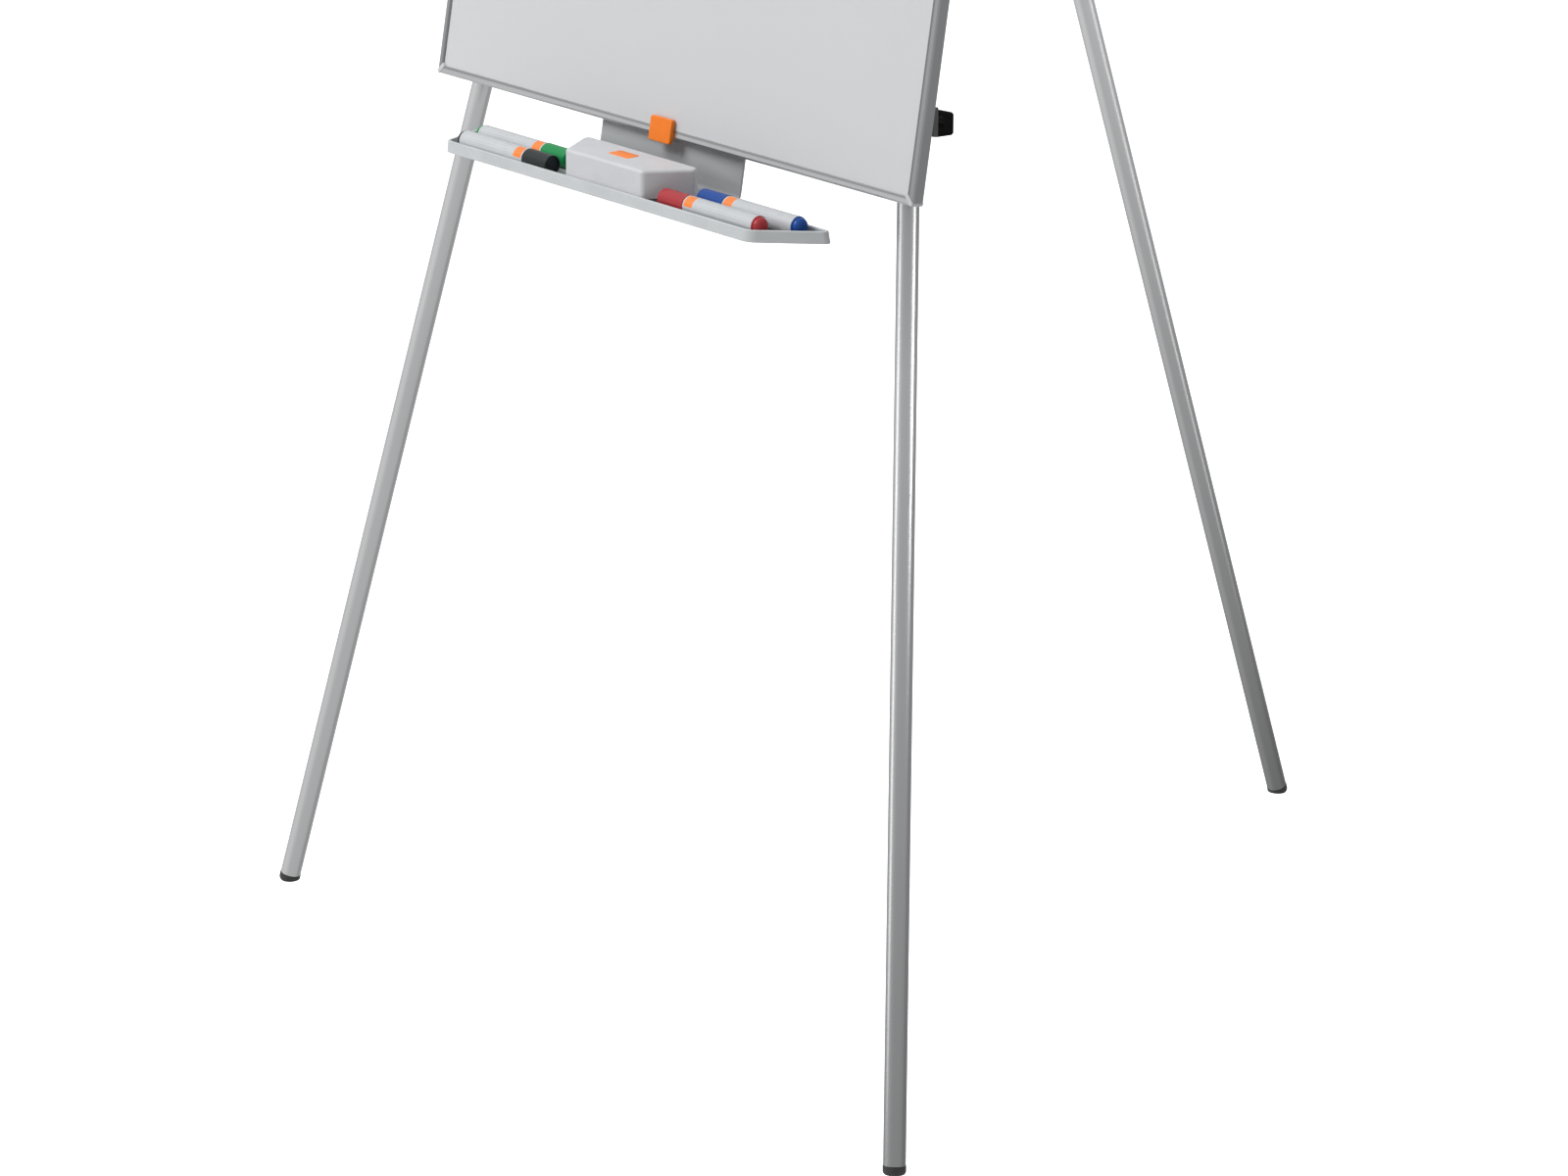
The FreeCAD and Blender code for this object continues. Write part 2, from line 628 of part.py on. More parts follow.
def make_clamp():
    """Sprung bar that holds the pad; it hangs from a pin at each end."""
    body = new_body("clamp_bar")
    axis = "dim.clamp_axis_front"
    section = outline(sketch(body, "YZ_Plane"), [
        (axis + " - 1.25", "dim.clamp_axis_up"),
        (axis + " - 1.25", "dim.clamp_low + 2.5"),
        (axis + " - 9", "dim.clamp_low + 1"),
        (axis + " - 9", "dim.clamp_low - 1.2"),
        (axis + " + 5", "dim.clamp_low - 1.2"),
        (axis + " + 5", "dim.clamp_low + 5"),
        (axis + " + 3", "dim.clamp_low + 5"),
        (axis + " + 3", "dim.clamp_low + 1"),
        (axis + " + 1.25", "dim.clamp_low + 2.5"),
        (axis + " + 1.25", "dim.clamp_axis_up"),
    ])
    pad(body, section, "2 * dim.clamp_half", both_ways=True)
    barrel = rod("x", "-dim.clamp_half", axis, "dim.clamp_axis_up",
                 "dim.bar_barrel_rad", "2 * dim.clamp_half")
    bores = [
        rod("x", "-dim.clamp_half - 1", axis, "dim.clamp_axis_up", "dim.pin_rad + dim.pin_gap", 14),
        rod("-x", "dim.clamp_half + 1", axis, "dim.clamp_axis_up", "dim.pin_rad + dim.pin_gap", 14),
    ]
    keep(cut(fuse(body, barrel), *bores), "clamp_bar", BOARD)
    sheet_gap = "(dim.board_front + dim.lip_thick - 0.2 - (%s + 5))" % axis
    grip = box("-dim.clamp_half", axis + " + 5", "dim.clamp_low - 1.2",
               "2 * dim.clamp_half", sheet_gap, 6.2)
    keep(grip, "clamp_grip", BOARD)
    for side, sign in (("left", -1), ("right", 1)):
        inner = "dim.ear_in" if sign > 0 else "-dim.ear_in - dim.ear_thick"
        foot_start = "dim.ear_in + dim.ear_thick - dim.ear_foot" if sign > 0 else inner
        low = "dim.clamp_axis_up - dim.ear_tall / 2"
        ear = box(inner, axis + " - 5", low,
                  "dim.ear_thick", "dim.board_front - (%s - 5)" % axis, "dim.ear_tall")
        foot = box(foot_start, "dim.board_front - 2", low, "dim.ear_foot", 2, "dim.ear_tall + 7")
        hole = rod("x", inner + " - 10", axis, "dim.clamp_axis_up", "dim.pin_rad + dim.pin_gap", 20)
        keep(cut(fuse(ear, foot), hole), "clamp_bracket_" + side, BOARD)
    pins = []
    for along, sign in (("x", -1), ("-x", 1)):
        start = "%d * (dim.ear_in + dim.ear_thick + 1.5)" % sign
        shank = rod(along, start, axis, "dim.clamp_axis_up", "dim.pin_rad", 20)
        head = rod(along, start, axis, "dim.clamp_axis_up", 3.4, 1.5)
        pins.append(fuse(shank, head))
    keep(group(*pins), "clamp_pins", BOARD)


def make_clamp_springs():
    """Torsion coils round the pins, between the bar's ends and the brackets."""
    gap = value("dim.ear_in - dim.clamp_half")
    wire = value("dim.spring_wire")
    mean = value("dim.pin_rad") + 1.1
    coil_long = gap - wire - 0.6
    path = Part.makeHelix(wire * 1.25, coil_long, mean)
    start = Vector(mean, 0, 0)
    profile = Part.Wire(Part.makeCircle(wire / 2, start, Vector(0, 1, 0)))
    coil = Part.Wire(path).makePipeShell([profile], True, True)
    springs = []
    for sign in (-1, 1):
        low_end = min(sign * value("dim.ear_in"), sign * value("dim.clamp_half")) + wire / 2 + 0.3
        centre = Vector(low_end, value("dim.clamp_axis_front"), value("dim.clamp_axis_up"))
        spot = Placement(centre, TURNS["x"])
        springs.append(coil.transformed(spot.toMatrix()))
    feature = doc.addObject("Part::Feature", "springs")
    feature.Shape = Part.makeCompound(springs)
    keep(feature, "clamp_springs", BOARD)


# ---------------------------------------------------------------- head and rear pivot

def make_head():
    """Cast head: leg sockets, flange to the board, ribs and the rear leg's fork."""
    flange = box("-dim.head_half", SHEET_BACK, "dim.head_low",
                 "2 * dim.head_half", "dim.flange_back - " + SHEET_BACK, "dim.head_top - dim.head_low")
    blocks = [flange]
    rib_front = "dim.flange_back - 0.5"
    for up in ("dim.head_low + 14", "dim.head_top - 4"):
        blocks.append(box("-dim.rib_half", rib_front, up, "2 * dim.rib_half", 22, 3))
    bores = []
    for side in ("left", "right"):
        lean_in = Placement(Vector((-1 if side == "left" else 1) * value("dim.half_span"), 0, 0),
                            Rotation(Vector(0, 1, 0), splay if side == "left" else -splay))
        socket = bind(doc.addObject("Part::Cylinder", "socket"),
                      Radius="dim.upper_rad + dim.ring_wall", Height="dim.socket_tall")
        socket_low = value("dim.tube_top + 3 - dim.socket_tall")
        socket.Placement = lean_in.multiply(Placement(Vector(0, 0, socket_low), Rotation()))
        bore = bind(doc.addObject("Part::Cylinder", "bore"),
                    Radius="dim.upper_rad + dim.grip_gap", Height=60)
        bore.Placement = lean_in.multiply(Placement(Vector(0, 0, value("dim.tube_top") - 60), Rotation()))
        blocks.append(socket)
        bores.append(bore)
    for start in ("dim.fork_half", "-dim.fork_half - dim.fork_thick"):
        blocks.append(box(start, rib_front, "dim.hinge_up - dim.fork_rad", "dim.fork_thick",
                          "dim.hinge_back - (%s)" % rib_front, "2 * dim.fork_rad"))
        blocks.append(rod("x", start, "dim.hinge_back", "dim.hinge_up", "dim.fork_rad", "dim.fork_thick"))
    bores.append(rod("x", -40, "dim.hinge_back", "dim.hinge_up", "dim.pivot_rad + dim.grip_gap", 80))
    for across in both_sides("dim.head_screw_in") + both_sides("dim.head_screw_out"):
        bores.append(rod("y", across, -20, "dim.head_screw_up", "dim.screw_rad", 12))
    casting = fuse(*blocks)
    casting.Refine = False
    drilled = cut(casting, *bores)
    drilled.Refine = False
    keep(drilled, "head_bracket", BOARD)


def make_rear_pivot():
    frame = BOARD.multiply(Placement(Vector(0, value("dim.hinge_back"), value("dim.hinge_up")), Rotation()))
    reach = "(dim.fork_half + dim.fork_thick)"
    shank = rod("x", "-" + reach, 0, 0, "dim.pivot_rad", "2 * %s + 9.5" % reach)
    head = hexagon("x", "-%s - 5.3" % reach, 0, 0, "dim.nut_rad", 5.3)
    keep(fuse(shank, head), "rear_pivot_bolt", frame)
    bore = rod("x", reach, 0, 0, "dim.pivot_rad + 0.02", 8)
    nut = fuse(hexagon("x", reach + " + 1.4", 0, 0, "dim.nut_rad", 5),
               rod("x", reach, 0, 0, "dim.nut_rad + 0.5", 1.5))
    keep(cut(nut, bore), "rear_pivot_nut", frame)


def make_knuckle():
    """Plug in the top of the rear tube with an eye for the pivot bolt."""
    spigot_rad = "(dim.upper_rad - dim.tube_wall - dim.grip_gap)"
    spigot = rod("z", 0, 0, "dim.tube_top - 30", spigot_rad, 31)
    shoulder = rod("z", 0, 0, "dim.tube_top + 0.05", "dim.upper_rad", 4)
    width = "(dim.fork_half - 0.4)"
    neck = box("-" + width, -9, "dim.tube_top + 3",
               "2 * " + width, 18, rear_long - value("dim.tube_top") - 3)
    eye = rod("x", "-" + width, 0, rear_long, 9, "2 * " + width)
    bore = rod("x", -30, 0, rear_long, "dim.pivot_rad + 0.08", 60)
    keep(cut(fuse(spigot, shoulder, neck, eye), bore), "rear_leg_knuckle", LEGS["rear"])


# ---------------------------------------------------------------- legs

def tube(label, low, high, radius, frame):
    length = "(%s) - (%s)" % (high, low)
    outer = rod("z", 0, 0, low, radius, length)
    inner = rod("z", 0, 0, low, radius + " - dim.tube_wall", length)
    return keep(cut(outer, inner), label, frame)


def make_collar(label, middle, frame):
    """Clamp collar: seat for the upper tube, guide for the lower one, block for the knob."""
    low = "(%s - dim.collar_tall / 2)" % middle
    ring = rod("z", 0, 0, low, "dim.collar_rad", "dim.collar_tall + dim.sleeve_tall")
    body = new_body(label + "_block")
    half = "dim.block_wide / 2"
    plan = outline(sketch(body, "XY_Plane", low), [
        ("-" + half, 0),
        (half, 0),
        (half, "dim.block_back - 8"),
        (half + " - 3", "dim.block_back"),
        ("-" + half + " + 3", "dim.block_back"),
        ("-" + half, "dim.block_back - 8"),
    ])
    pad(body, plan, "dim.collar_tall")
    back = value("dim.block_back")
    round_off(body, 1.6, lambda p, e: near(p.y, back) and runs_along(e, "x"))
    guide = rod("z", 0, 0, low + " - 1", "dim.lower_rad + 0.08", 60)
    seat = rod("z", 0, 0, "%s + 4" % middle, "dim.upper_rad + dim.grip_gap", 60)
    thread = rod("y", 0, 0, middle + " - 1", "dim.stud_rad + 0.06", 60)
    return keep(cut(fuse(ring, body), guide, seat, thread), label, frame)


def make_knob(label, middle, frame):
    """Wing knob moulded round its stud; its axis is square to the tube."""
    body = new_body(label)
    up = "(%s - 1)" % middle
    wing = outline(sketch(body, "YZ_Plane"), [
        ("dim.wing_start", up + " - dim.wing_root / 2"),
        ("dim.wing_end", up + " - dim.wing_tip / 2"),
        ("dim.wing_end", up + " + dim.wing_tip / 2"),
        ("dim.wing_start", up + " + dim.wing_root / 2"),
    ])
    pad(body, wing, "dim.wing_thick", both_ways=True)
    start = value("dim.wing_start")
    end = value("dim.wing_end")
    round_off(body, 3.2, lambda p, e: runs_along(e, "x") and near(p.y, end))
    round_off(body, 2, lambda p, e: runs_along(e, "x") and near(p.y, start))
    round_off(body, 2.4, lambda p, e: p.y > start + 0.1 and not runs_along(e, "x"))
    hub = rod("y", 0, "dim.knob_start", up, "dim.knob_hub_rad", "dim.wing_start - dim.knob_start + 6")
    stud = rod("y", 0, "dim.lower_rad + 0.2", up, "dim.stud_rad", "dim.knob_start - dim.lower_rad")
    return keep(fuse(body, hub, stud), label, frame)


def make_foot(label, frame):
    """Plastic plug in the tube's end, worn flat where it stands on the floor."""
    body = new_body(label)
    section = outline(sketch(body, "XZ_Plane"), [
        (0, "-dim.foot_sink"),
        ("dim.foot_rad", "-dim.foot_sink"),
        ("dim.foot_rad", "dim.foot_band"),
        ("dim.stem_rad", "dim.foot_band"),
        ("dim.stem_rad", "dim.foot_band + dim.stem_long"),
        (0, "dim.foot_band + dim.stem_long"),
    ])
    revolve(body, section, "V_Axis")
    low = value("-dim.foot_sink")
    round_off(body, "dim.foot_round", lambda p, e: near(p.z, low) and not straight(e))
    under = bind(doc.addObject("Part::Box", "floor"), Length=80, Width=80, Height=20)
    spot = Placement(frame.Base + Vector(-40, -40, -20), Rotation())
    under.Placement = frame.inverse().multiply(spot)
    return keep(cut(body, under), label, frame)


def make_bush(label, top, frame):
    """Nylon bush on the lower tube's top end; it runs in the upper tube."""
    body = new_body(label)
    section = outline(sketch(body, "XZ_Plane"), [
        ("dim.lower_rad + 0.02", top + " - dim.bush_long"),
        ("dim.bush_rad", top + " - dim.bush_long"),
        ("dim.bush_rad", top + " + 2"),
        (6, top + " + 2"),
        (6, top + " + 0.05"),
        ("dim.lower_rad + 0.02", top + " + 0.05"),
    ])
    revolve(body, section, "V_Axis")
    return keep(body, label, frame)


def make_saddle(label, frame):
    """Ring round the upper tube with a foot plate screwed to the board."""
    low = "dim.saddle_low"
    tall = "dim.saddle_tall"
    ring = rod("z", 0, 0, low, "dim.upper_rad + dim.ring_wall", tall)
    plate = box("-dim.saddle_half", SHEET_BACK, low,
                "2 * dim.saddle_half", "dim.flange_back - " + SHEET_BACK, tall)
    rib = box(-9, "dim.flange_back - 2", low, 18, 8, tall)
    bore = rod("z", 0, 0, low + " - 1", "dim.upper_rad + dim.grip_gap", tall + " + 2")
    middle = "dim.saddle_low + dim.saddle_tall / 2"
    holes = [rod("y", across, -20, middle, "dim.screw_rad", 12)
             for across in both_sides("dim.saddle_screw_at")]
    return keep(cut(fuse(ring, plate, rib), bore, *holes), label, frame)


def make_legs():
    for side, frame in LEGS.items():
        middle = COLLAR_MID[side]
        top = "(%s + dim.overlap)" % middle
        tube("upper_tube_" + side, middle + " + 4.05", "dim.tube_top", "dim.upper_rad", frame)
        tube("lower_tube_" + side, "dim.foot_band + 0.05", top, "dim.lower_rad", frame)
        make_collar("collar_" + side, middle, frame)
        make_knob("knob_" + side, middle, frame)
        make_foot("foot_" + side, frame)
        make_bush("tube_bush_" + side, top, frame)
    for side in ("left", "right"):
        make_saddle("leg_saddle_" + side, LEGS[side])


# ---------------------------------------------------------------- tray

def make_tray():
    body = new_body("tray")
    back = "(dim.tray_front + dim.tray_deep)"
    plan = outline(sketch(body, "XY_Plane", "dim.tray_low"), [
        ("-dim.tray_left_front", "dim.tray_front"),
        ("dim.tray_right_front", "dim.tray_front"),
        ("dim.tray_right_back", back),
        ("-dim.tray_left_back", back),
    ])
    pad(body, plan, "dim.tray_tall", taper="-dim.tray_draft")
    middle = value("dim.tray_front + dim.tray_deep / 2")
    high = value("dim.tray_low + dim.tray_tall")
    rise = value("dim.tray_tall")
    round_off(body, "dim.tray_left_round", lambda p, e: upright(e) and p.y < middle and p.x < 0)
    round_off(body, "dim.tray_right_round", lambda p, e: upright(e) and p.y < middle and p.x > 200
              and near(e.Length, rise, 0.1))
    round_off(body, "dim.tray_back_round", lambda p, e: upright(e) and p.y > middle)
    base = body.Tip
    top = [number for number, face in enumerate(base.Shape.Faces, start=1)
           if near(face.CenterOfMass.z, high)][0]
    hollow = body.newObject("PartDesign::Thickness", "hollow")
    hollow.Base = (base, ["Face%d" % top])
    bind(hollow, Value="dim.tray_wall")
    hollow.Reversed = True
    doc.recompute()
    round_off(body, 0.9, lambda p, e: near(p.z, high))
    holes = []
    for across in both_sides("dim.tray_screw_at"):
        holes.append(rod("z", across, "dim.tray_screw_back", "dim.tray_low - 1", "dim.tray_screw_rad", 3.4))
    keep(cut(body, *holes), "tray")


def make_tray_bracket():
    """Bent plate: behind the board's bottom rail, down, then forward under the tray."""
    body = new_body("tray_bracket")
    face = "(dim.board_front + dim.board_thick)"
    rear = "(%s + dim.hanger_thick)" % face

    def level(back, height):
        """Slope coordinate where a line square to the board meets a level height."""
        return "((%s + (%s) * sin(dim.lean * 1 deg)) / cos(dim.lean * 1 deg))" % (height, back)

    top = "dim.tray_low"
    under = "(dim.tray_low - dim.hanger_thick)"
    front_back_top = "(dim.hanger_reach * cos(dim.lean * 1 deg) - %s * sin(dim.lean * 1 deg))" % top
    front_back_low = "(dim.hanger_reach * cos(dim.lean * 1 deg) - %s * sin(dim.lean * 1 deg))" % under
    front_up_top = "(dim.hanger_reach * sin(dim.lean * 1 deg) + %s * cos(dim.lean * 1 deg))" % top
    front_up_low = "(dim.hanger_reach * sin(dim.lean * 1 deg) + %s * cos(dim.lean * 1 deg))" % under
    section = outline(sketch(body, "YZ_Plane"), [
        (face, "dim.hanger_top"),
        (face, level(face, top)),
        (front_back_top, front_up_top),
        (front_back_low, front_up_low),
        (rear, level(rear, under)),
        (rear, "dim.hanger_top"),
    ])
    pad(body, section, "dim.hanger_wide", both_ways=True)
    inner = value(face)
    outer = value(rear)
    round_off(body, "dim.bend_rad", lambda p, e: runs_along(e, "x") and near(p.y, inner) and p.z < 800)
    round_off(body, "dim.bend_rad + dim.hanger_thick",
              lambda p, e: runs_along(e, "x") and near(p.y, outer) and p.z < 800)
    holes = []
    for across in both_sides("dim.hanger_screw_at"):
        for up in ("dim.hanger_screw_low", "dim.hanger_screw_high"):
            holes.append(rod("y", across, -20, up, "dim.screw_rad", 12))
    screws_up = []
    for across in both_sides("dim.tray_screw_at"):
        hole = bind(doc.addObject("Part::Cylinder", "hole"), Radius="dim.tray_screw_rad", Height=10)
        spot = Vector(across, value("dim.tray_screw_back"), value("dim.tray_low") - 6)
        hole.Placement = BOARD.inverse().multiply(Placement(spot, Rotation()))
        holes.append(hole)
        seat = "dim.tray_low - dim.hanger_thick"
        shank = rod("z", across, "dim.tray_screw_back", seat + " - 1",
                    "dim.tray_screw_rad - dim.grip_gap", "dim.hanger_thick + 3.2")
        head = rod("z", across, "dim.tray_screw_back", seat + " - 1.8", "2 * dim.tray_screw_rad", 1.8)
        screws_up.append(fuse(shank, head))
    keep(cut(body, *holes), "tray_bracket", BOARD)
    keep(group(*screws_up), "tray_screws")


def make_eraser():
    def plan(drawing, shrink, corner_shrink=0):
        back = "(dim.eraser_front + dim.eraser_deep - %s)" % shrink
        front = "(dim.eraser_front + %s)" % shrink
        half_front = "(dim.eraser_half_front - %s)" % shrink
        half_back = "(dim.eraser_half_back - %s - %s)" % (shrink, corner_shrink)
        return outline(drawing, [
            ("dim.eraser_mid - " + half_front, front),
            ("dim.eraser_mid + " + half_front, front),
            ("dim.eraser_mid + " + half_back, back),
            ("dim.eraser_mid - " + half_back, back),
        ])

    floor_top = "(dim.tray_low + dim.tray_wall)"
    felt = new_body("eraser_pad")
    pad(felt, plan(sketch(felt, "XY_Plane", floor_top), "dim.felt_inset"), "dim.felt_tall")
    round_off(felt, "dim.eraser_round - dim.felt_inset", lambda p, e: runs_along(e, "z"))
    keep(felt, "eraser_pad")
    grip = new_body("eraser_body")
    grip_low = floor_top + " + dim.felt_tall"
    pad(grip, plan(sketch(grip, "XY_Plane", grip_low), 0), "dim.eraser_tall")
    top = value(grip_low + " + dim.eraser_tall")
    round_off(grip, "dim.eraser_round", lambda p, e: upright(e))
    round_off(grip, "dim.eraser_edge", lambda p, e: near(p.z, top))
    # the back corners are narrow, so the hollow stays further away from their rounding
    inside = plan(sketch(grip, "XY_Plane", grip_low), "dim.eraser_wall", "2.5 * dim.eraser_wall")
    pocket(grip, inside, "dim.eraser_tall - dim.eraser_wall", backwards=True)
    keep(grip, "eraser_body")


def make_marker(colour, plug_at, back, turn):
    """Marker lying in the tray from its plug on; its cap points to +x before the turn about Z."""
    up = value("dim.tray_low + dim.tray_wall + dim.marker_cap_rad + dim.grip_gap")
    frame = Placement(Vector(plug_at, back, up), Rotation(Vector(0, 0, 1), turn))
    start = "dim.marker_dome"
    cap_start = "(dim.marker_long - dim.marker_cap_long)"
    barrel = new_body("marker_barrel")
    revolve(barrel, outline(sketch(barrel, "XZ_Plane"), [
        (start, "dim.marker_bore"),
        (start, "dim.marker_rad"),
        (cap_start + " - 0.4", "dim.marker_rad"),
        (cap_start + " - 0.4", "dim.marker_bore + 0.1"),
        (cap_start + " + 13", "dim.marker_bore + 0.1"),
        (cap_start + " + 15", 4.5),
        (cap_start + " + 24", 3.2),
        (cap_start + " + 24", 2.2),
        (cap_start + " + 29", 2.2),
        (cap_start + " + 30", 1.2),
        (cap_start + " + 30", 0),
        (cap_start, 0),
        (cap_start, 5),
        (cap_start + " - 4", "dim.marker_bore"),
    ]), "H_Axis")
    keep(barrel, "marker_%s_barrel" % colour, frame)
    cap = new_body("marker_cap")
    revolve(cap, outline(sketch(cap, "XZ_Plane"), [
        (cap_start, "dim.marker_bore + 0.15"),
        (cap_start, "dim.marker_cap_rad"),
        ("dim.marker_long", "dim.marker_cap_rad - 0.2"),
        ("dim.marker_long", 7.6),
        ("dim.marker_long - 1.6", 7.2),
        ("dim.marker_long - 1.6", 0),
        ("dim.marker_long - 3.4", 0),
        ("dim.marker_long - 3.4", "dim.marker_bore + 0.15"),
    ]), "H_Axis")
    end = value("dim.marker_long")
    round_off(cap, 0.6, lambda p, e: near(p.x, end) and math.hypot(p.y, p.z) > 9)
    keep(cap, "marker_%s_cap" % colour, frame)
    plug = new_body("marker_plug")
    revolve(plug, outline(sketch(plug, "XZ_Plane"), [
        (0, 0),
        (0, 8.1),
        (start + " - 1.3", 8.1),
        (start + " - 1.3", 8.8),
        (start + " - 0.05", 8.8),
        (start + " - 0.05", "dim.marker_bore - 0.05"),
        (start + " + 10", "dim.marker_bore - 0.05"),
        (start + " + 10", 0),
    ]), "H_Axis")
    round_off(plug, 6.2, lambda p, e: near(p.x, 0) and not straight(e))
    keep(plug, "marker_%s_plug" % colour, frame)


def make_markers():
    make_marker("black", -210.8, 40, 0)
    make_marker("green", -217.5, 66.5, 0)
    make_marker("red", 228, 41.8, 180)
    make_marker("blue", 251.5, 67.5, 180)


make_panel()
make_frame_rails()
make_corner_caps()
make_badge()
make_screws()
make_pad_rail()
make_pad_hooks()
make_clamp()
make_clamp_springs()
make_head()
make_rear_pivot()
make_knuckle()
make_legs()
make_tray()
make_tray_bracket()
make_eraser()
make_markers()
doc.recompute()

# ---------------------------------------------------------------- check and write

failed = [thing.Label for thing in doc.Objects if "Invalid" in thing.State or "Error" in thing.State]
if failed:
    raise ValueError("failed objects: " + ", ".join(failed))
for part in parts:
    if part.Shape.isNull() or not part.Shape.isValid():
        raise ValueError(part.Label + " has no valid shape")

os.makedirs("parts", exist_ok=True)
for part in parts:
    part.Shape.exportStep(os.path.join("parts", part.Label + ".step"))
print(len(parts), "sub-parts")
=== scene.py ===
"""Looks for a tripod flipchart easel: finishes, labels, felt, floor, light and camera."""

import math

import bmesh
import bpy
from mathutils import Matrix, Vector


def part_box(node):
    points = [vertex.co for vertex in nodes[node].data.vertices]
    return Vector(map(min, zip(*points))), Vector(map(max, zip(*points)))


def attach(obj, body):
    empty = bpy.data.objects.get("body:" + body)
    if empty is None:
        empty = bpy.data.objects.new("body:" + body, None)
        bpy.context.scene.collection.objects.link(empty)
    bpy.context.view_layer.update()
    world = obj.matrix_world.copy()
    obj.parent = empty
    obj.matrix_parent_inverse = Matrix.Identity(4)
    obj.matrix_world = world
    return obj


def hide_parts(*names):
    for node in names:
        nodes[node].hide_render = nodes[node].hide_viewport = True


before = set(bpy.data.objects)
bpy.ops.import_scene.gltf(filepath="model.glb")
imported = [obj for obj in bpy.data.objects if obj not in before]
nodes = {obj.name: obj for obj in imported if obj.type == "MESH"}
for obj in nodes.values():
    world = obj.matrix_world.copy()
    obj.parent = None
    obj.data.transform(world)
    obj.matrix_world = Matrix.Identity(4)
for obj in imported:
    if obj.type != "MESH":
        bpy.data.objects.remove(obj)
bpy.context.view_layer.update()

MM = 0.001
SQUARE = ((-1, -1), (1, -1), (1, 1), (-1, 1))

# ---------------------------------------------------------------- frames, as in the CAD source
LEAN = math.radians(9.75)
SPLAY = math.radians(9.93)
REAR_TILT = math.radians(18.07)
HALF_SPAN = 0.452
REAR_REACH = 0.922
FEET_LINE = -0.460745  # y of the front feet
BOARD_LOW = 0.82  # the board's lower edge, measured up its slope

WORLD = Matrix.Identity(4)
HOME = Matrix.Translation((0, FEET_LINE, 0))
BOARD = HOME @ Matrix.Rotation(-LEAN, 4, "X")
LEGS = {"rear": HOME @ Matrix.Translation((0, REAR_REACH, 0)) @ Matrix.Rotation(REAR_TILT, 4, "X")}
for side, sign in (("left", -1), ("right", 1)):
    foot_spot = Matrix.Translation((sign * HALF_SPAN, 0, 0))
    LEGS[side] = BOARD @ foot_spot @ Matrix.Rotation(-sign * SPLAY, 4, "Y")

MARKER_UP = 0.78535
MARKER_LONG = 138.5 * MM
MARKER_CAP = 35 * MM
MARKERS = {  # colour: (end plug x, y behind the feet line, degrees turned about Z)
    "black": (-0.2108, 0.0400, 0),
    "green": (-0.2175, 0.0665, 0),
    "red": (0.2280, 0.0418, 180),
    "blue": (0.2515, 0.0675, 180),
}


def marker_frame(colour):
    """x runs from the end plug to the cap, z is up."""
    plug_x, plug_y, turned = MARKERS[colour]
    spot = Matrix.Translation((plug_x, plug_y, MARKER_UP))
    return HOME @ spot @ Matrix.Rotation(math.radians(turned), 4, "Z")


# ---------------------------------------------------------------- node materials

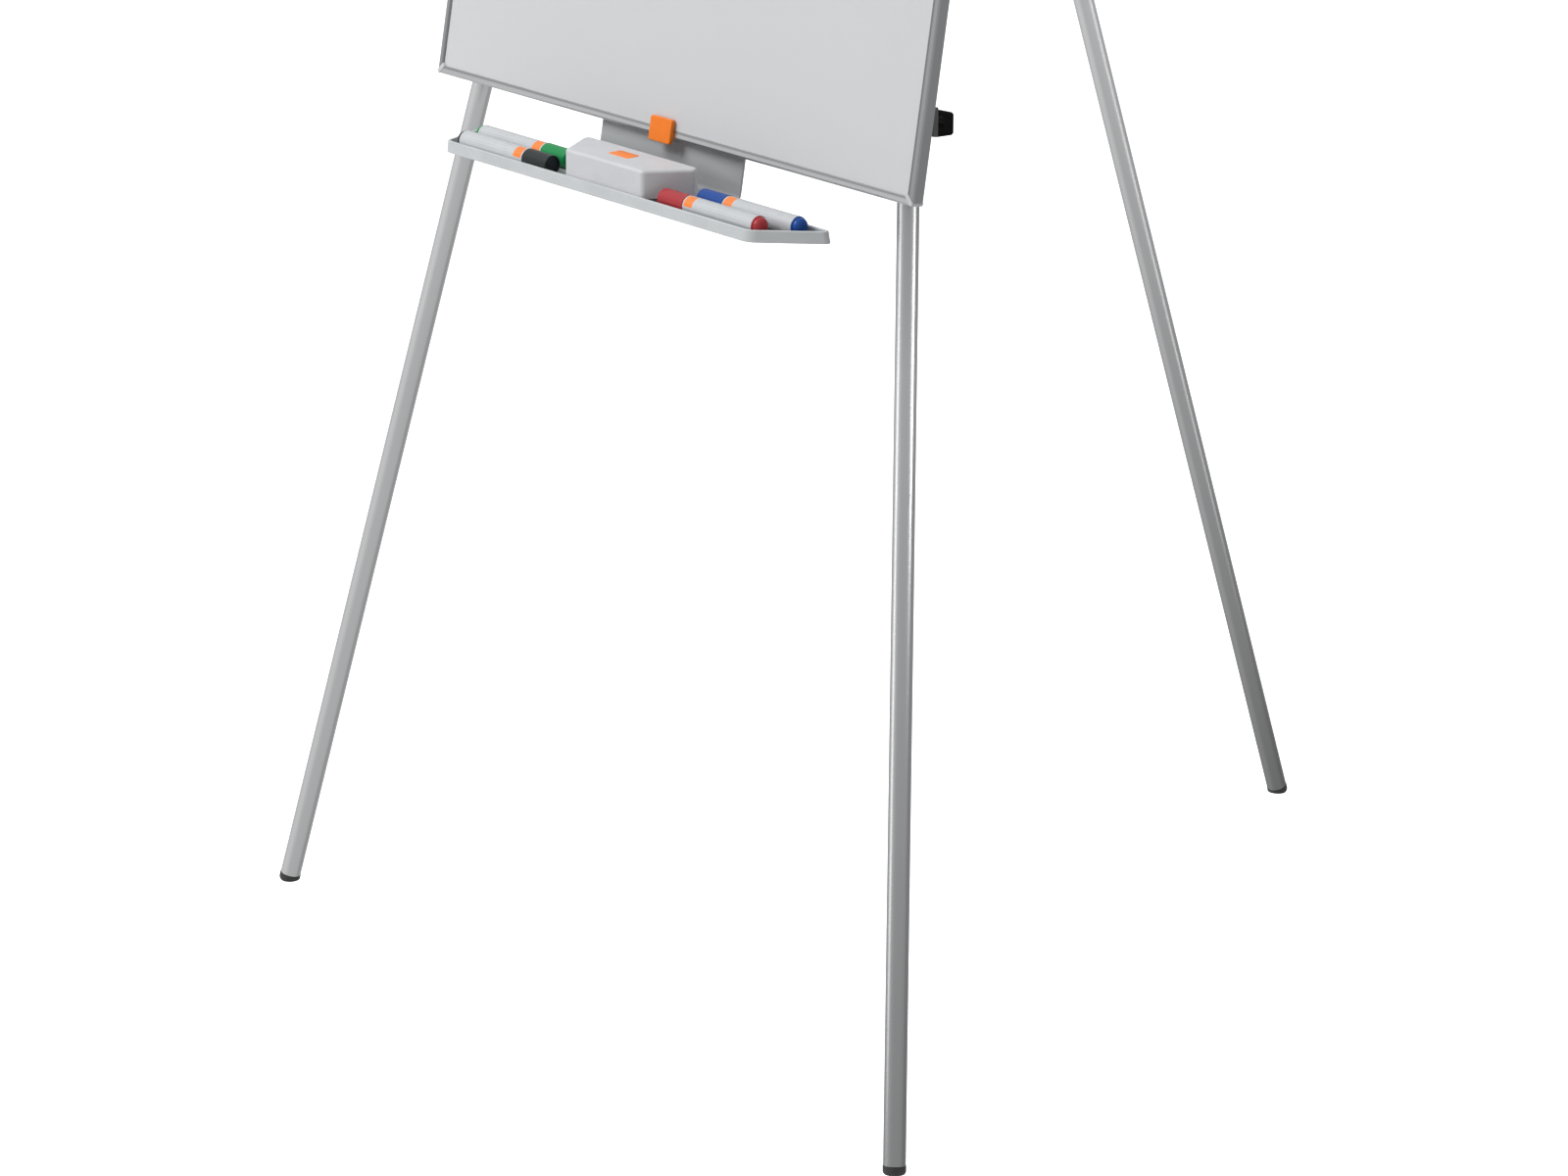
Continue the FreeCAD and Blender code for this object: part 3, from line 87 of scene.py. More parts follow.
class Finish:
    """A material under construction. Each method adds a node and gives its output socket."""

    def __init__(self, name, at=WORLD):
        self.material = bpy.data.materials.new(name)
        self.material.use_nodes = True
        self.tree = self.material.node_tree
        self.surface = self.tree.nodes["Principled BSDF"]
        coordinates = self.node("TexCoord", out="Object")
        inverse = at.inverted()
        self.place = self.node("Mapping", {
            "Vector": coordinates,
            "Location": inverse.to_translation(),
            "Rotation": inverse.to_euler(),
        })

    def node(self, kind, sockets=None, out=0, **settings):
        made = self.tree.nodes.new("ShaderNode" + kind)
        for key, setting in settings.items():
            setattr(made, key, setting)
        for key, source in (sockets or {}).items():
            self.feed(made.inputs[key], source)
        return made.outputs[out]

    def feed(self, socket, source):
        if isinstance(source, bpy.types.NodeSocket):
            self.tree.links.new(source, socket)
        else:
            socket.default_value = source

    def set(self, **sockets):
        """Principled inputs; an underscore stands for a space in the socket's name."""
        for key, source in sockets.items():
            self.feed(self.surface.inputs[key.replace("_", " ")], source)
        return self

    def math(self, operation, first, second=0.0, third=0.0, clamp=False):
        return self.node("Math", {0: first, 1: second, 2: third}, operation=operation, use_clamp=clamp)

    def part(self, axis):
        """One coordinate of the material's frame, in metres."""
        return self.node("SeparateXYZ", {0: self.place}, out="XYZ".index(axis))

    def band(self, number, low, high, soft=0.0001):
        """1 where number lies between low and high, 0 outside, with soft edges."""
        rise = self.node("MapRange", {0: number, 1: low - soft, 2: low + soft})
        fall = self.node("MapRange", {0: number, 1: high - soft, 2: high + soft, 3: 1.0, 4: 0.0})
        return self.math("MULTIPLY", rise, fall)

    def noise(self, size, stretch=(1, 1, 1), detail=3.0, rough=0.5, twist=0.0, seed=0.0):
        """Cloudy noise; size is the width of one blot in metres, stretch lengthens it along an axis."""
        scale = tuple(1 / size / along for along in stretch)
        away = (seed, seed * 0.7, seed * 1.3)
        moved = self.node("VectorMath", {0: self.place, 1: away}, operation="ADD")
        scaled = self.node("VectorMath", {0: moved, 1: scale}, operation="MULTIPLY")
        return self.node("TexNoise", {
            "Vector": scaled, "Scale": 1.0, "Detail": detail, "Roughness": rough, "Distortion": twist,
        })

    def cells(self, size, out="Distance", feature="F1"):
        scaled = self.node("VectorMath", {0: self.place, 1: (1 / size,) * 3}, operation="MULTIPLY")
        return self.node("TexVoronoi", {"Vector": scaled, "Scale": 1.0}, out=out, feature=feature)

    def spread(self, number, low, high, first=0.35, last=0.65):
        """Maps number from first..last to low..high."""
        return self.node("MapRange", {0: number, 1: first, 2: last, 3: low, 4: high})

    def mix(self, share, first, second):
        """A colour between first (share 0) and second (share 1)."""
        made = self.tree.nodes.new("ShaderNodeMix")
        made.data_type = "RGBA"
        self.feed(made.inputs["Factor"], share)
        self.feed(made.inputs[6], first)
        self.feed(made.inputs[7], second)
        return made.outputs[2]

    def shade(self, colour, number, depth=0.06):
        """Colour made lighter and darker by noise around the given depth."""
        dark = tuple(channel * (1 - depth) for channel in colour[:3]) + (1,)
        light = tuple(min(1, channel * (1 + depth)) for channel in colour[:3]) + (1,)
        return self.mix(self.spread(number, 0, 1), dark, light)

    def bump(self, height, depth, under=None):
        """A normal from a height of 0..1 that stands depth metres high."""
        sockets = {"Height": height, "Distance": depth, "Strength": 1.0}
        if under is not None:
            sockets["Normal"] = under
        return self.node("Bump", sockets)

    def soft_edges(self, radius):
        """The surface normal with every sharp edge rounded over."""
        return self.node("Bevel", {"Radius": radius}, samples=4)

    def worn_edges(self, radius):
        """1 on a convex edge, 0 on the flats."""
        rounded = self.node("Bevel", {"Radius": radius}, samples=4)
        plain = self.node("NewGeometry", out="Normal")
        same = self.node("VectorMath", {0: rounded, 1: plain}, operation="DOT_PRODUCT", out="Value")
        return self.node("MapRange", {0: same, 1: 0.995, 2: 0.85})


def grey(level, warm=0.0):
    """A neutral colour; a negative warm leans to blue."""
    return (level * (1 + warm), level, level * (1 - warm), 1)


# pure black, mixed in as painted shade on the legs and the tray bracket
BLACK = grey(0.0)
# near-black for the painted shade line along a frame lip's inner edge
LIP_SHADE_COLOUR = grey(0.02)


# ---- metals

def drawn_metal(name, at, colour, along="Z", rough=0.3, streak=0.4, wear=0.4,
                foot=1.0, knee=0.9, neck=1.0, lip_shade_line=None):
    """Anodised or drawn metal with fine lines along one axis; foot and neck paint shade that darkens a
    leg towards its foot and just under the board, and a given lip line paints a dark shade line along a
    frame lip's inner edge.
    """
    f = Finish(name, at)
    stretch = tuple(60 if axis == along else 1 for axis in "XYZ")
    lines = f.noise(0.00035, stretch, detail=4)
    cloud = f.noise(0.06, tuple(6 if axis == along else 1 for axis in "XYZ"), detail=2)
    handled = f.noise(0.018, (1, 1, 3), detail=5, rough=0.65, seed=3.1)
    skin = f.shade(colour, cloud, 0.02)
    # painted shade: below knee the tube darkens towards its foot, down to foot times its colour
    if foot < 1:
        low = tuple(channel * foot for channel in colour[:3]) + (1,)
        climb = f.node("MapRange", {0: f.part("Z"), 1: 0.0, 2: knee, 3: 0.0, 4: 1.0})
        skin = f.mix(climb, f.shade(low, cloud, 0.02), skin)
    # painted shade: with neck below 1 the tube darkens towards black just under the board's lower edge
    if neck < 1:
        reach = {0: f.part("Z"), 1: BOARD_LOW - 0.14, 2: BOARD_LOW, 3: 0.0, 4: 1.0 - neck}
        skin = f.mix(f.node("MapRange", reach), skin, BLACK)
    # painted shade: a dark band along the inner edge of a frame lip, where the lip rounds over beside
    # the gap to the writing sheet
    if lip_shade_line:
        across, middle, inner = lip_shade_line
        away = f.math("ABSOLUTE", f.math("SUBTRACT", f.part(across), middle))
        line = f.band(away, inner - 0.0005, inner + 0.0026, 0.0005)
        skin = f.mix(f.math("MULTIPLY", line, 0.40), skin, LIP_SHADE_COLOUR)
    f.set(
        Base_Color=skin,
        Metallic=1.0,
        Roughness=f.math("ADD", f.spread(lines, rough - 0.04 * streak, rough + 0.04 * streak),
                         f.spread(handled, 0, 0.07 * wear, 0.5, 0.75)),
        Anisotropic=0.35,
        Normal=f.bump(lines, 0.000006 * streak),
    )
    return f.material


def steel(name, colour, rough, at=WORLD, size=0.004):
    """Zinc plated steel: a bright, slightly blotched skin."""
    f = Finish(name, at)
    blotch = f.noise(size, detail=4)
    scratch = f.noise(0.0005, (1, 14, 1), detail=2, seed=1.7)
    f.set(
        Base_Color=f.shade(colour, blotch, 0.10),
        Metallic=1.0,
        Roughness=f.spread(blotch, rough - 0.07, rough + 0.10),
        Normal=f.bump(scratch, 0.00001, f.soft_edges(0.0003)),
    )
    return f.material


def galvanised(name):
    """Back sheet: thin zinc with a faint crystal pattern."""
    f = Finish(name, BOARD)
    crystal = f.cells(0.011, out="Color")
    tone = f.node("RGBToBW", {0: crystal})
    fine = f.noise(0.0012, detail=3)
    cloud = f.noise(0.18, detail=3)
    pale = f.mix(tone, grey(0.40, -0.03), grey(0.50, -0.02))
    f.set(
        Base_Color=f.mix(f.spread(cloud, 0, 0.25), pale, grey(0.36, -0.02)),
        Metallic=0.75,
        Roughness=f.math("ADD", f.spread(tone, 0.40, 0.52, 0, 1), f.spread(fine, -0.03, 0.03)),
        Normal=f.bump(fine, 0.00002),
    )
    return f.material


# ---- paints and plastics

def plastic(name, colour, rough, at=WORLD, grain=0.0006, grain_depth=0.00002, edge=0.0005,
            tone=0.03, rub=0.35, through=0.0, lighter=1.15, shine=0.5):
    """Moulded plastic: fine grain, slight tone change, polished and paler on its edges."""
    f = Finish(name, at)
    grit = f.noise(grain, detail=3)
    cloud = f.noise(0.03, detail=3, seed=2.3)
    handled = f.noise(0.012, detail=5, rough=0.7, seed=5.9)
    edges = f.worn_edges(edge * 1.6)
    body = f.shade(colour, cloud, tone)
    pale = tuple(min(1, channel * lighter) for channel in colour[:3]) + (1,)
    f.set(
        Base_Color=f.mix(f.math("MULTIPLY", edges, rub), body, pale),
        Roughness=f.math("ADD", f.spread(grit, rough - 0.03, rough + 0.03),
                         f.spread(handled, 0, 0.10, 0.5, 0.8)),
        Normal=f.bump(grit, grain_depth, f.soft_edges(edge)),
        Specular_IOR_Level=shine,
    )
    if through:
        f.set(Transmission_Weight=through, IOR=1.46)
    return f.material


def powder_coat(name, colour, rough=0.42, at=WORLD, edge=0.0005, side=1.0):
    """Sprayed paint with an orange-peel skin; side paints shade onto a plate's right end and its low
    edge.
    """
    f = Finish(name, at)
    peel = f.noise(0.0014, detail=2, rough=0.4)
    grit = f.noise(0.00022, detail=2, seed=4.2)
    cloud = f.noise(0.07, detail=2, seed=0.6)
    both = f.math("ADD", peel, f.math("MULTIPLY", grit, 0.3))
    thin = f.math("MULTIPLY", f.worn_edges(edge * 1.5), f.spread(f.noise(0.004, detail=4), 0, 0.5))
    skin = f.shade(colour, cloud, 0.03)
    # painted shade: darker towards the plate's right end and its low edge, where the eraser and tray
    # shade it
    if side < 1:
        share = f.node("MapRange", {0: f.part("X"), 1: 0.03, 2: 0.11, 3: 0.0, 4: 1.0 - side})
        low = f.node("MapRange", {0: f.part("Z"), 1: 0.815, 2: 0.795, 3: 0.0, 4: 0.40})
        skin = f.mix(f.math("MAXIMUM", share, low), skin, BLACK)
    f.set(
        Base_Color=f.mix(thin, skin, grey(0.62)),
        Roughness=f.spread(grit, rough - 0.04, rough + 0.05),
        Normal=f.bump(both, 0.00003, f.soft_edges(edge)),
    )
    return f.material


def writing_lacquer(name):
    """Glossy dry-wipe lacquer with an all but invisible orange peel and old wipe marks."""
    f = Finish(name, BOARD)
    peel = f.noise(0.004, detail=2, rough=0.3)
    cloud = f.noise(0.35, detail=2)
    wipes = f.noise(0.035, (4, 1, 1.2), detail=5, rough=0.65, twist=0.6, seed=7.3)
    ghost = f.spread(wipes, 0, 0.12, 0.52, 0.78)
    clean = f.shade((0.590, 0.603, 0.617, 1), cloud, 0.012)
    f.set(
        Base_Color=f.mix(ghost, clean, (0.555, 0.570, 0.590, 1)),
        Roughness=f.spread(wipes, 0.30, 0.34, 0.4, 0.75),
        Normal=f.bump(peel, 0.000004),
        Coat_Weight=0.15,
        Coat_Roughness=0.10,
    )
    return f.material


def fibreboard(name):
    f = Finish(name, BOARD)
    fibre = f.noise(0.0009, (3, 1, 3), detail=5, rough=0.7)
    fleck = f.cells(0.0025)
    colour = f.mix(f.spread(fibre, 0, 1), (0.22, 0.13, 0.065, 1), (0.40, 0.27, 0.15, 1))
    f.set(
        Base_Color=f.mix(f.spread(fleck, 0.4, 0, 0.1, 0.4), colour, (0.15, 0.09, 0.05, 1)),
        Roughness=0.85,
        Normal=f.bump(fibre, 0.0003),
    )
    return f.material


def rubber(name, level, at=WORLD, edge=0.0006, dusty=0.5):
    """Matt rubber with a fine skin and pale dust in patches, most of it low down."""
    f = Finish(name, at)
    skin = f.noise(0.0008, detail=4)
    dust = f.noise(0.006, detail=5, rough=0.7, seed=8.1)
    height = f.node("SeparateXYZ", {0: f.node("TexCoord", out="Object")}, out=2)
    low = f.node("MapRange", {0: height, 1: 0.0, 2: 0.008, 3: 1.0, 4: 0.15})
    share = f.math("MULTIPLY", f.math("MULTIPLY", f.spread(dust, 0, 0.5), low), dusty)
    f.set(
        Base_Color=f.mix(share, grey(level, -0.03), grey(0.22, 0.04)),
        Roughness=f.spread(skin, 0.48, 0.62),
        Normal=f.bump(skin, 0.00004, f.soft_edges(edge)),
    )
    return f.material


def felt(name):
    """Pressed wool: matted fibres with a soft sheen, chalky on the wiping face."""
    f = Finish(name)
    fibre = f.noise(0.0011, (2.5, 1, 1), detail=6, rough=0.75, twist=1.4)
    cross = f.noise(0.0009, (1, 2.5, 1), detail=5, rough=0.7, twist=1.1, seed=4.4)
    both = f.math("MULTIPLY", f.math("ADD", fibre, cross), 0.5)
    worn = f.noise(0.02, detail=4, seed=2.2)
    colour = f.mix(f.spread(both, 0, 1), grey(0.085, -0.02), grey(0.24, -0.01))
    f.set(
        Base_Color=f.mix(f.spread(worn, 0, 0.35), colour, (0.30, 0.30, 0.33, 1)),
        Roughness=0.95,
        Sheen_Weight=0.6,
        Sheen_Roughness=0.5,
        Normal=f.bump(both, 0.0006),
    )
    return f.material


ORANGE = (0.93, 0.220, 0.018, 1)
BLOCK_NEAR = 0.0020  # the orange block's two ends, measured back from the cap
BLOCK_FAR = 0.0135
RULES = ((0.30, 0.05), (0.62, 0.05), (0.95, 0.05), (1.30, 0.04), (1.60, 0.03))  # start, height; radians


def marker_barrel(name, colour):
    """Pale printed barrel: an orange block by the cap, then plain grey rules, no lettering."""
    f = Finish(name, marker_frame(colour))
    along = f.part("X")
    cap_start = MARKER_LONG - MARKER_CAP
    round_it = f.node("Math", {0: f.part("Z"), 1: f.part("Y")}, operation="ARCTAN2")
    if colour in ("black", "green"):
        round_it = f.math("SUBTRACT", math.pi, round_it)
    block = f.math("MULTIPLY", f.band(along, cap_start - BLOCK_FAR, cap_start - BLOCK_NEAR),
                   f.band(round_it, 0.15, 1.55, 0.02))
    print_on = f.band(along, 0.022, cap_start - 0.022, 0.0004)
    broken = f.noise(0.0016, (1, 5, 5), detail=2, seed=9.0)
    print_lines = 0.0
    for at, high in RULES:
        rule = f.math("MULTIPLY", f.band(round_it, at, at + high, 0.012), print_on)
        print_lines = f.math("MAXIMUM", rule, print_lines)
    print_lines = f.math("MULTIPLY", print_lines, f.spread(broken, 0.1, 0.45, 0.42, 0.5))
    cloud = f.noise(0.02, detail=3)
    fine = f.noise(0.0005, (8, 1, 1), detail=3)
    paper = f.shade((0.530, 0.548, 0.565, 1), cloud, 0.02)
    lined = f.mix(print_lines, paper, grey(0.30, -0.02))
    f.set(
        Base_Color=f.mix(block, lined, ORANGE),
        Roughness=f.spread(fine, 0.28, 0.40),
        Normal=f.bump(f.math("MAXIMUM", block, print_lines), 0.00002, f.bump(fine, 0.000006)),
        Coat_Weight=0.15,
        Coat_Roughness=0.15,
    )
    return f.material


def orange_badge(name, at):
    f = Finish(name, at)
    grain = f.noise(0.0005, detail=3)
    cloud = f.noise(0.008, detail=2)
    edges = f.math("MULTIPLY", f.worn_edges(0.0006), 0.35)
    f.set(
        Base_Color=f.mix(edges, f.shade(ORANGE, cloud, 0.03), (1.0, 0.40, 0.12, 1)),
        Roughness=f.spread(grain, 0.34, 0.42),
        Normal=f.bump(grain, 0.000008, f.soft_edges(0.0006)),
        Specular_IOR_Level=0.25,
    )
    return f.material


# ---------------------------------------------------------------- dressing the CAD nodes

def dress(material, *names):
    for name in names:
        thing = nodes[name]
        thing.data.materials.clear()
        thing.data.materials.append(material)


TUBE = grey(0.62, -0.010)
RAIL = grey(0.53, -0.016)
# painted shade: the stiles take a darker copy of the frame's aluminium, for their lips and sides that
# face away from the light
STILE_SHADED = grey(0.34, -0.028)


def dress_board():
    dress(writing_lacquer("lacquer"), "writing_sheet")
    dress(fibreboard("fibreboard_core"), "board_core")
    dress(galvanised("galvanised_back"), "back_sheet")
    # rails and stiles both carry the painted shade line along the lip's inner edge
    across = drawn_metal("frame_across", BOARD, RAIL, "X", 0.33, lip_shade_line=("Z", 1.322, 0.492))
    # the stiles wear the shaded copy of the rail colour
    upright = drawn_metal("frame_upright", BOARD, STILE_SHADED, "Z", 0.36, lip_shade_line=("X", 0.0, 0.337))
    dress(across, "frame_top", "frame_bottom")
    dress(upright, "frame_left", "frame_right")
    dress(plastic("cap_plastic", grey(0.56, -0.012), 0.34, BOARD, grain=0.0004), "corner_caps")
    dress(orange_badge("badge_orange", BOARD), "board_badge")
    dress(steel("screw_zinc", grey(0.55, -0.02), 0.28), "board_screws", "tray_screws", "clamp_pins")
    # side paints shade onto the bracket's right end and low edge
    dress(powder_coat("bracket_paint", grey(0.50, -0.028), 0.40, BOARD, side=0.62), "tray_bracket")


def dress_head():
    dress(drawn_metal("pad_rail_metal", BOARD, RAIL, "X", 0.30), "pad_rail")
    dress(drawn_metal("clamp_metal", BOARD, RAIL, "X", 0.28), "clamp_bar")
    dress(rubber("grip_black", 0.03, BOARD, dusty=0.3), "clamp_grip")
    dress(steel("spring_steel", grey(0.50, 0.01), 0.22), "clamp_springs")
    dress(powder_coat("clamp_bracket_paint", grey(0.30, -0.015)),
          "clamp_bracket_left", "clamp_bracket_right")
    dress(powder_coat("head_paint", grey(0.20, -0.015), 0.45), "head_bracket")
    dress(steel("bolt_zinc", grey(0.55, -0.01), 0.25), "rear_pivot_bolt", "rear_pivot_nut")
    black = plastic("moulded_black", grey(0.022, -0.03), 0.36, grain=0.0005,
                    grain_depth=0.00003, lighter=2.2)
    dress(black, "rear_leg_knuckle", "pad_hook_left", "pad_hook_right",
          "leg_saddle_left", "leg_saddle_right", "collar_left", "collar_right", "collar_rear")
    knob = plastic("knob_black", grey(0.0012, -0.04), 0.18, grain=0.0007, grain_depth=0.000006,
                   edge=0.0008, lighter=2.0, shine=0.05)
    dress(knob, "knob_left", "knob_right", "knob_rear")


def dress_legs():
    nylon = plastic("nylon_white", (0.66, 0.65, 0.61, 1), 0.42, grain=0.0009)
    # painted shade per leg: (colour, share of colour left at the foot, height where the foot darkening
    # ends, share left under the board); the right leg's colour is a darker, shaded copy of the tube
    # colour
    painted_leg_shade = {
        "left": (TUBE, 0.92, 0.9, 1.0),
        "right": (grey(0.45, -0.012), 0.66, 0.6, 0.78),
        "rear": (TUBE, 0.34, 0.9, 1.0),
    }
    for side, at in LEGS.items():
        tone, foot, knee, neck = painted_leg_shade[side]
        dress(drawn_metal("tube_upper_" + side, at, tone, "Z", 0.30), "upper_tube_" + side)
        lower = drawn_metal("tube_lower_" + side, at, tone, "Z", 0.30, foot=foot, knee=knee, neck=neck)
        dress(lower, "lower_tube_" + side)
        dress(rubber("foot_rubber_" + side, 0.012, at), "foot_" + side)
        dress(nylon, "tube_bush_" + side)


def dress_tray():
    tray = plastic("tray_grey", (0.540, 0.562, 0.575, 1), 0.42, grain=0.0005, rub=0.4, lighter=1.08)
    dress(tray, "tray")
    eraser = plastic("eraser_grey", (0.580, 0.586, 0.606, 1), 0.45, rub=0.4, lighter=1.06)
    dress(eraser, "eraser_body")
    ends = {
        "black": ((0.014, 0.020, 0.022, 1), 0.34, 0.0),
        "green": ((0.008, 0.250, 0.070, 1), 0.32, 0.0),
        "red": ((0.44, 0.040, 0.048, 1), 0.30, 0.10),
        "blue": ((0.010, 0.065, 0.30, 1), 0.30, 0.0),
    }
    for colour, (tint, rough, through) in ends.items():
        body = plastic("marker_" + colour, tint, rough, marker_frame(colour), grain=0.0007,
                       grain_depth=0.000008, edge=0.0004, through=through, lighter=1.3, shine=0.20)
        dress(body, "marker_%s_cap" % colour, "marker_%s_plug" % colour)
        dress(marker_barrel("barrel_" + colour, colour), "marker_%s_barrel" % colour)


# ---------------------------------------------------------------- pieces made here

def new_piece(name, mesh, material, body):
    """Links a finished bmesh as a piece that rides on a CAD body."""
    data = bpy.data.meshes.new(name)
    mesh.to_mesh(data)
    mesh.free()
    thing = bpy.data.objects.new(name, data)
    bpy.context.scene.collection.objects.link(thing)
    data.materials.append(material)
    for polygon in data.polygons:
        polygon.use_smooth = True
    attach(thing, body)
    return thing


def rounded_outline(corners, radius, steps=6):
    """Points round a convex polygon whose corners are rounded over."""
    points = []
    count = len(corners)
    for number, here in enumerate(corners):
        before = (corners[number - 1] - here).normalized()
        after = (corners[(number + 1) % count] - here).normalized()
        half = before.angle(after) / 2
        reach = radius / math.tan(half)
        centre = here + (before + after).normalized() * (radius / math.sin(half))
        start = here + before * reach - centre
        sweep = start.to_2d().angle_signed((here + after * reach - centre).to_2d())
        for step in range(steps + 1):
            turn = Matrix.Rotation(-sweep * step / steps, 2)
            arm = turn @ start.to_2d()
            points.append(centre + Vector((arm.x, arm.y, 0)))
    return points


def stack(mesh, outline, layers):
    """Loops of the outline, shrunk towards its middle and raised; layers are (inset, height)."""
    middle = sum(outline, Vector()) / len(outline)
    loops = []
    for inset, height in layers:
        loop = []
        for point in outline:
            arm = point - middle
            keep = 1 - inset / arm.length
            loop.append(mesh.verts.new((middle.x + arm.x * keep, middle.y + arm.y * keep, height)))
        loops.append(loop)
    count = len(outline)
    for low, high in zip(loops, loops[1:]):
        for number in range(count):
            after = (number + 1) % count
            mesh.faces.new((low[number], low[after], high[after], high[number]))
    mesh.faces.new(list(reversed(loops[0])))
    mesh.faces.new(loops[-1])
    mesh.normal_update()
    return loops


ERASER_MIDDLE = 0.0135
ERASER_FRONT = FEET_LINE + 0.0314
ERASER_DEEP = 0.0476
ERASER_HALF_FRONT = 0.0558
ERASER_HALF_BACK = 0.0854
FELT_INSET = 0.0015
LABEL_HALF_WIDE = 0.0145
LABEL_HALF_DEEP = 0.0076
LABEL_ROUND = 0.0022


def make_felt():
    """Felt pad under the eraser: soft pressed edge, in the place of the plain CAD block."""
    low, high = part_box("eraser_pad")
    front = ERASER_HALF_FRONT - FELT_INSET
    back = ERASER_HALF_BACK - FELT_INSET
    near, far = ERASER_FRONT + FELT_INSET, ERASER_FRONT + ERASER_DEEP - FELT_INSET
    plan = [Vector((ERASER_MIDDLE - front, near, 0)), Vector((ERASER_MIDDLE + front, near, 0)),
            Vector((ERASER_MIDDLE + back, far, 0)), Vector((ERASER_MIDDLE - back, far, 0))]
    mesh = bmesh.new()
    outline = rounded_outline(plan, 0.0045)
    rise = high.z - low.z
    layers = [(0.0016, low.z), (0.0004, low.z + 0.0006), (0.0, low.z + 0.0016)]
    layers += [(0.0, low.z + rise * share) for share in (0.42, 0.58)]
    layers += [(0.0003, high.z - 0.0014), (0.0012, high.z - 0.0001)]
    stack(mesh, outline, layers)
    piece = new_piece("eraser_felt", mesh, felt("pressed_felt"), "eraser")
    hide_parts("eraser_pad")


def make_eraser_label():
    """Small blank orange label let into the top of the eraser."""
    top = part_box("eraser_body")[1].z
    middle = Vector((ERASER_MIDDLE - 0.003, ERASER_FRONT + 0.0265, 0))
    plan = [middle + Vector((x * LABEL_HALF_WIDE, y * LABEL_HALF_DEEP, 0)) for x, y in SQUARE]
    mesh = bmesh.new()
    layers = [(0.0, top - 0.0003), (0.0, top + 0.0001), (0.0002, top + 0.0002)]
    stack(mesh, rounded_outline(plan, LABEL_ROUND), layers)
    new_piece("eraser_label", mesh, orange_badge("label_orange", WORLD), "eraser")


# ---------------------------------------------------------------- floor, light and camera

FLOOR_HALF = 40
FLOOR_UP = -0.045  # low enough for the legs' longest reach; the floor shows no shadow that would tell


def make_floor():
    mesh = bmesh.new()
    mesh.faces.new([mesh.verts.new((x * FLOOR_HALF, y * FLOOR_HALF, FLOOR_UP)) for x, y in SQUARE])
    data = bpy.data.meshes.new("floor")
    mesh.to_mesh(data)
    mesh.free()
    floor = bpy.data.objects.new("floor", data)
    bpy.context.scene.collection.objects.link(floor)
    f = Finish("floor_paper")
    cloud = f.noise(0.5, detail=2)
    f.set(Base_Color=f.shade((0.80, 0.80, 0.80, 1), cloud, 0.01), Roughness=0.9, Specular_IOR_Level=0.1)
    seen = f.node("LightPath", out="Is Camera Ray")
    f.set(Emission_Color=(1, 1, 1, 1), Emission_Strength=seen)
    data.materials.append(f.material)
    floor.visible_glossy = False


CAMERA_AT = Vector((3.8221, -2.9650 + FEET_LINE, 1.9860))
CAMERA_YAW = -0.8714
CAMERA_PITCH = -0.1496
LENS = 126.2
SHIFT = {"shift_x": 0.00325, "shift_y": -0.586}


def make_world():
    """White to the camera; a soft studio of pale and dim walls to everything shiny."""
    world = bpy.data.worlds.new("studio")
    bpy.context.scene.world = world
    world.use_nodes = True
    tree = world.node_tree
    tree.nodes.clear()

    def node(kind, sockets=None, out=0, **settings):
        made = tree.nodes.new("ShaderNode" + kind)
        for key, setting in settings.items():
            setattr(made, key, setting)
        for key, source in (sockets or {}).items():
            if isinstance(source, bpy.types.NodeSocket):
                tree.links.new(source, made.inputs[key])
            else:
                made.inputs[key].default_value = source
        return made.outputs[out] if made.outputs else None

    look = node("TexCoord", out="Generated")
    level = node("VectorMath", {0: look, 1: (1, 1, 0)}, operation="MULTIPLY")
    level = node("VectorMath", {0: level}, operation="NORMALIZE")

    def wall(turn, width, strength):
        """A pale upright panel, turned left (negative) or right of the camera, seen from the easel."""
        bearing = math.radians(50 + turn)
        towards = (math.sin(bearing), -math.cos(bearing), 0)
        facing = node("VectorMath", {0: level, 1: towards}, operation="DOT_PRODUCT", out="Value")
        edge = math.cos(math.radians(width))
        share = node("MapRange", {0: facing, 1: edge - 0.22, 2: edge + 0.22, 3: 0.0, 4: strength},
                     interpolation_type="SMOOTHSTEP")
        return share

    glow = node("Math", {0: wall(-85, 35, 0.24), 1: wall(102, 24, 0.32)}, operation="SUBTRACT")
    height = node("SeparateXYZ", {0: look}, out=2)
    sky = node("MapRange", {0: height, 1: 0.1, 2: 0.8, 3: 0.0, 4: 0.5})
    glow = node("Math", {0: glow, 1: sky}, operation="ADD")
    glow = node("Math", {0: glow, 1: 0.70}, operation="ADD")
    shiny = node("LightPath", out="Is Glossy Ray")
    seen = node("LightPath", out="Is Camera Ray")
    plain = node("MapRange", {0: seen, 3: 0.38, 4: 1.0})
    strength = node("Mix", {0: shiny, 2: plain, 3: glow})
    shader = node("Background", {"Color": (1, 1, 1, 1), "Strength": strength})
    node("OutputWorld", {0: shader})


def area_light(name, at, towards, size, power):
    light = bpy.data.lights.new(name, "AREA")
    light.shape = "RECTANGLE"
    light.size, light.size_y = size
    light.energy = power
    holder = bpy.data.objects.new(name, light)
    bpy.context.scene.collection.objects.link(holder)
    holder.location = at
    holder.rotation_mode = "QUATERNION"
    holder.rotation_quaternion = (Vector(towards) - Vector(at)).to_track_quat("-Z", "Y")
    holder.visible_camera = False
    return holder


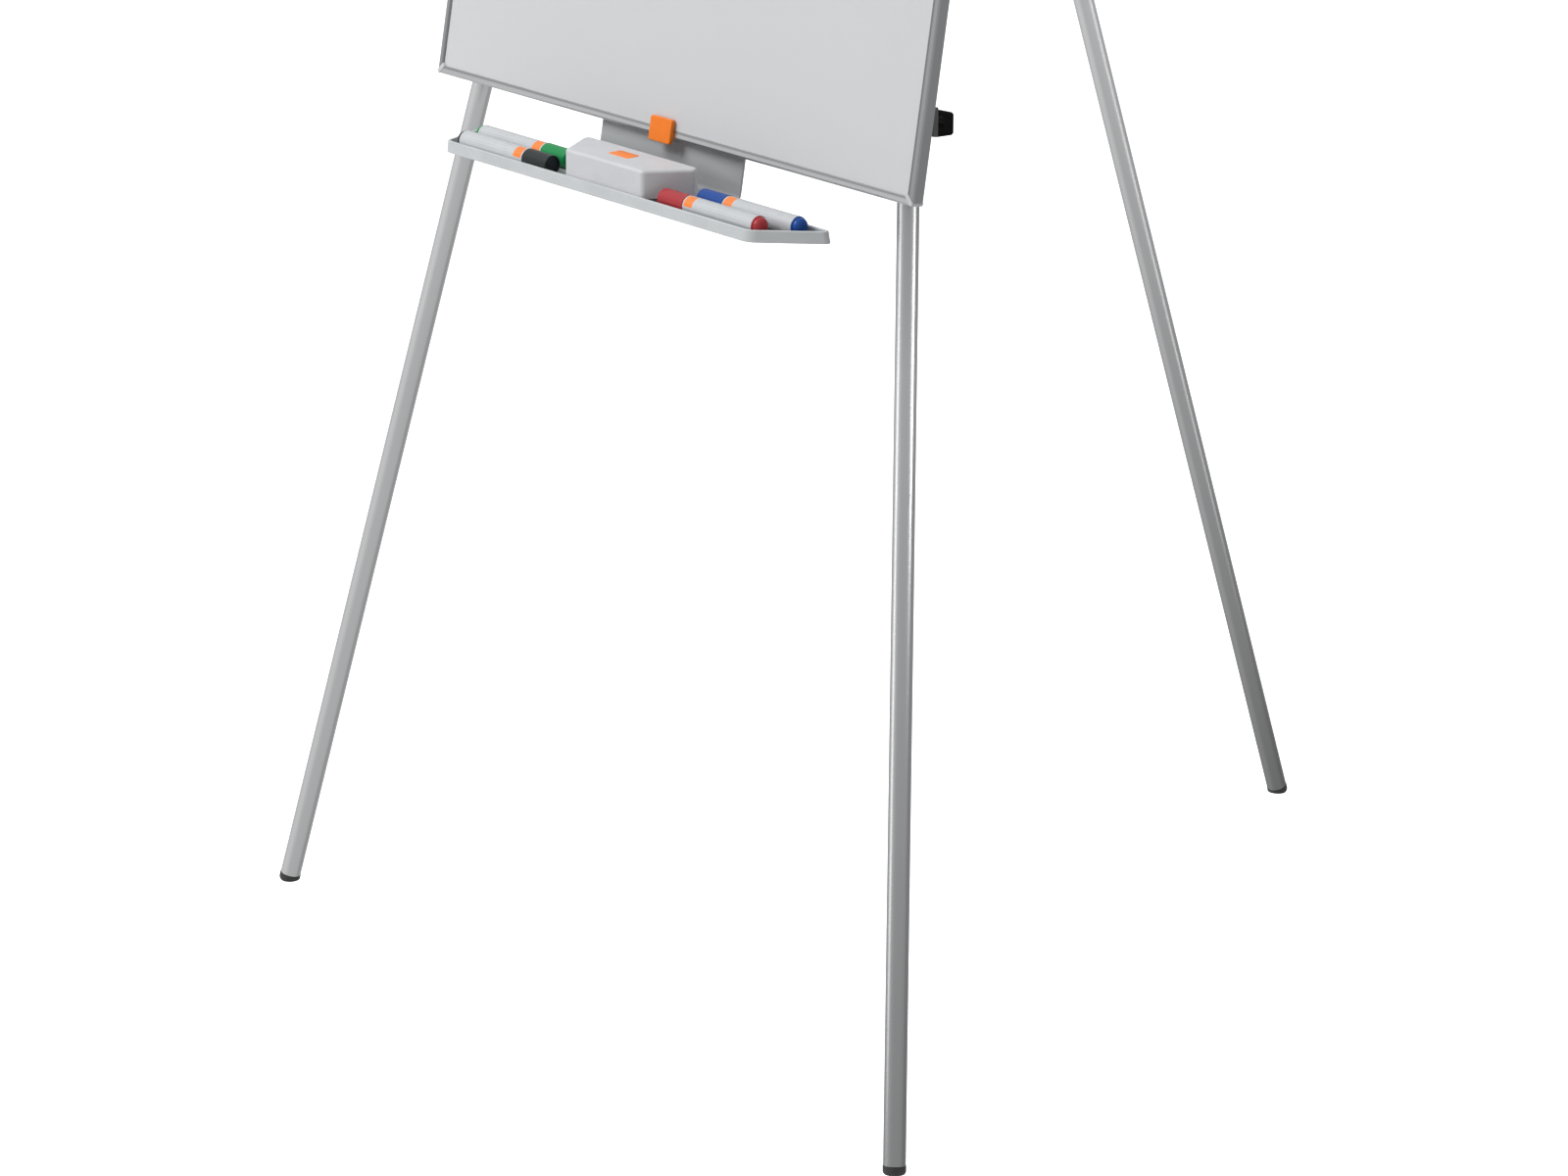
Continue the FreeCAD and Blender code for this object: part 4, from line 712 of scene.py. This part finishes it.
def strip_light(name, leg, spot, bearing, reach, up, size, power):
    """Tall strip beside one leg that lights that leg only: the bright line along a polished tube."""
    turn = math.radians(bearing)
    at = (spot[0] + reach * math.sin(turn), spot[1] - reach * math.cos(turn), up)
    strip = area_light(name, at, (spot[0], spot[1], up), size, power)
    receivers = bpy.data.collections.new(name + "_lights")
    receivers.objects.link(nodes["lower_tube_" + leg])
    strip.light_linking.receiver_collection = receivers


def make_lights():
    middle = (0, -0.26, 0.9)
    area_light("key", (-1.5, -3.3, 4.2), middle, (2.4, 2.4), 180)
    area_light("rim", (3.2, 2.9, 2.2), middle, (1.2, 2.6), 12)
    right_leg = (0.40, -0.42)
    strip_light("strip_right", "right", right_leg, 124, 1.2, 0.74, (0.30, 0.4), 2.8)
    strip_light("strip_left", "right", right_leg, -40, 1.2, 0.50, (0.35, 1.2), 3.4)
    strip_light("strip_rear", "rear", (0.0, 0.30), 128, 1.5, 0.55, (0.40, 1.6), 3.5)


def make_camera():
    scene = bpy.context.scene
    data = bpy.data.cameras.new("camera")
    data.lens = LENS
    data.sensor_width = 36
    camera = bpy.data.objects.new("camera", data)
    scene.collection.objects.link(camera)
    camera.location = CAMERA_AT
    ahead = Vector((math.sin(CAMERA_YAW) * math.cos(CAMERA_PITCH),
                    math.cos(CAMERA_YAW) * math.cos(CAMERA_PITCH), math.sin(CAMERA_PITCH)))
    camera.rotation_mode = "QUATERNION"
    camera.rotation_quaternion = ahead.to_track_quat("-Z", "Y")
    data.clip_start, data.clip_end = 0.05, 200
    # The picture is an off-centre crop; the shift holds only at this viewpoint, and any
    # other place the camera is moved to has a centred picture.
    for name, amount in SHIFT.items():
        driver = data.driver_add(name).driver
        driver.type = "SCRIPTED"
        place = driver.variables.new()
        place.name = "x"
        place.type = "TRANSFORMS"
        place.targets[0].id = camera
        place.targets[0].transform_type = "LOC_X"
        driver.expression = "%s if abs(x - %s) < 0.01 else 0" % (amount, CAMERA_AT.x)
    scene.camera = camera
    scene.view_settings.view_transform = "Standard"
    scene.view_settings.look = "None"


dress_board()
dress_head()
dress_legs()
dress_tray()
make_felt()
make_eraser_label()
make_floor()
make_world()
make_lights()
make_camera()

bpy.context.view_layer.update()
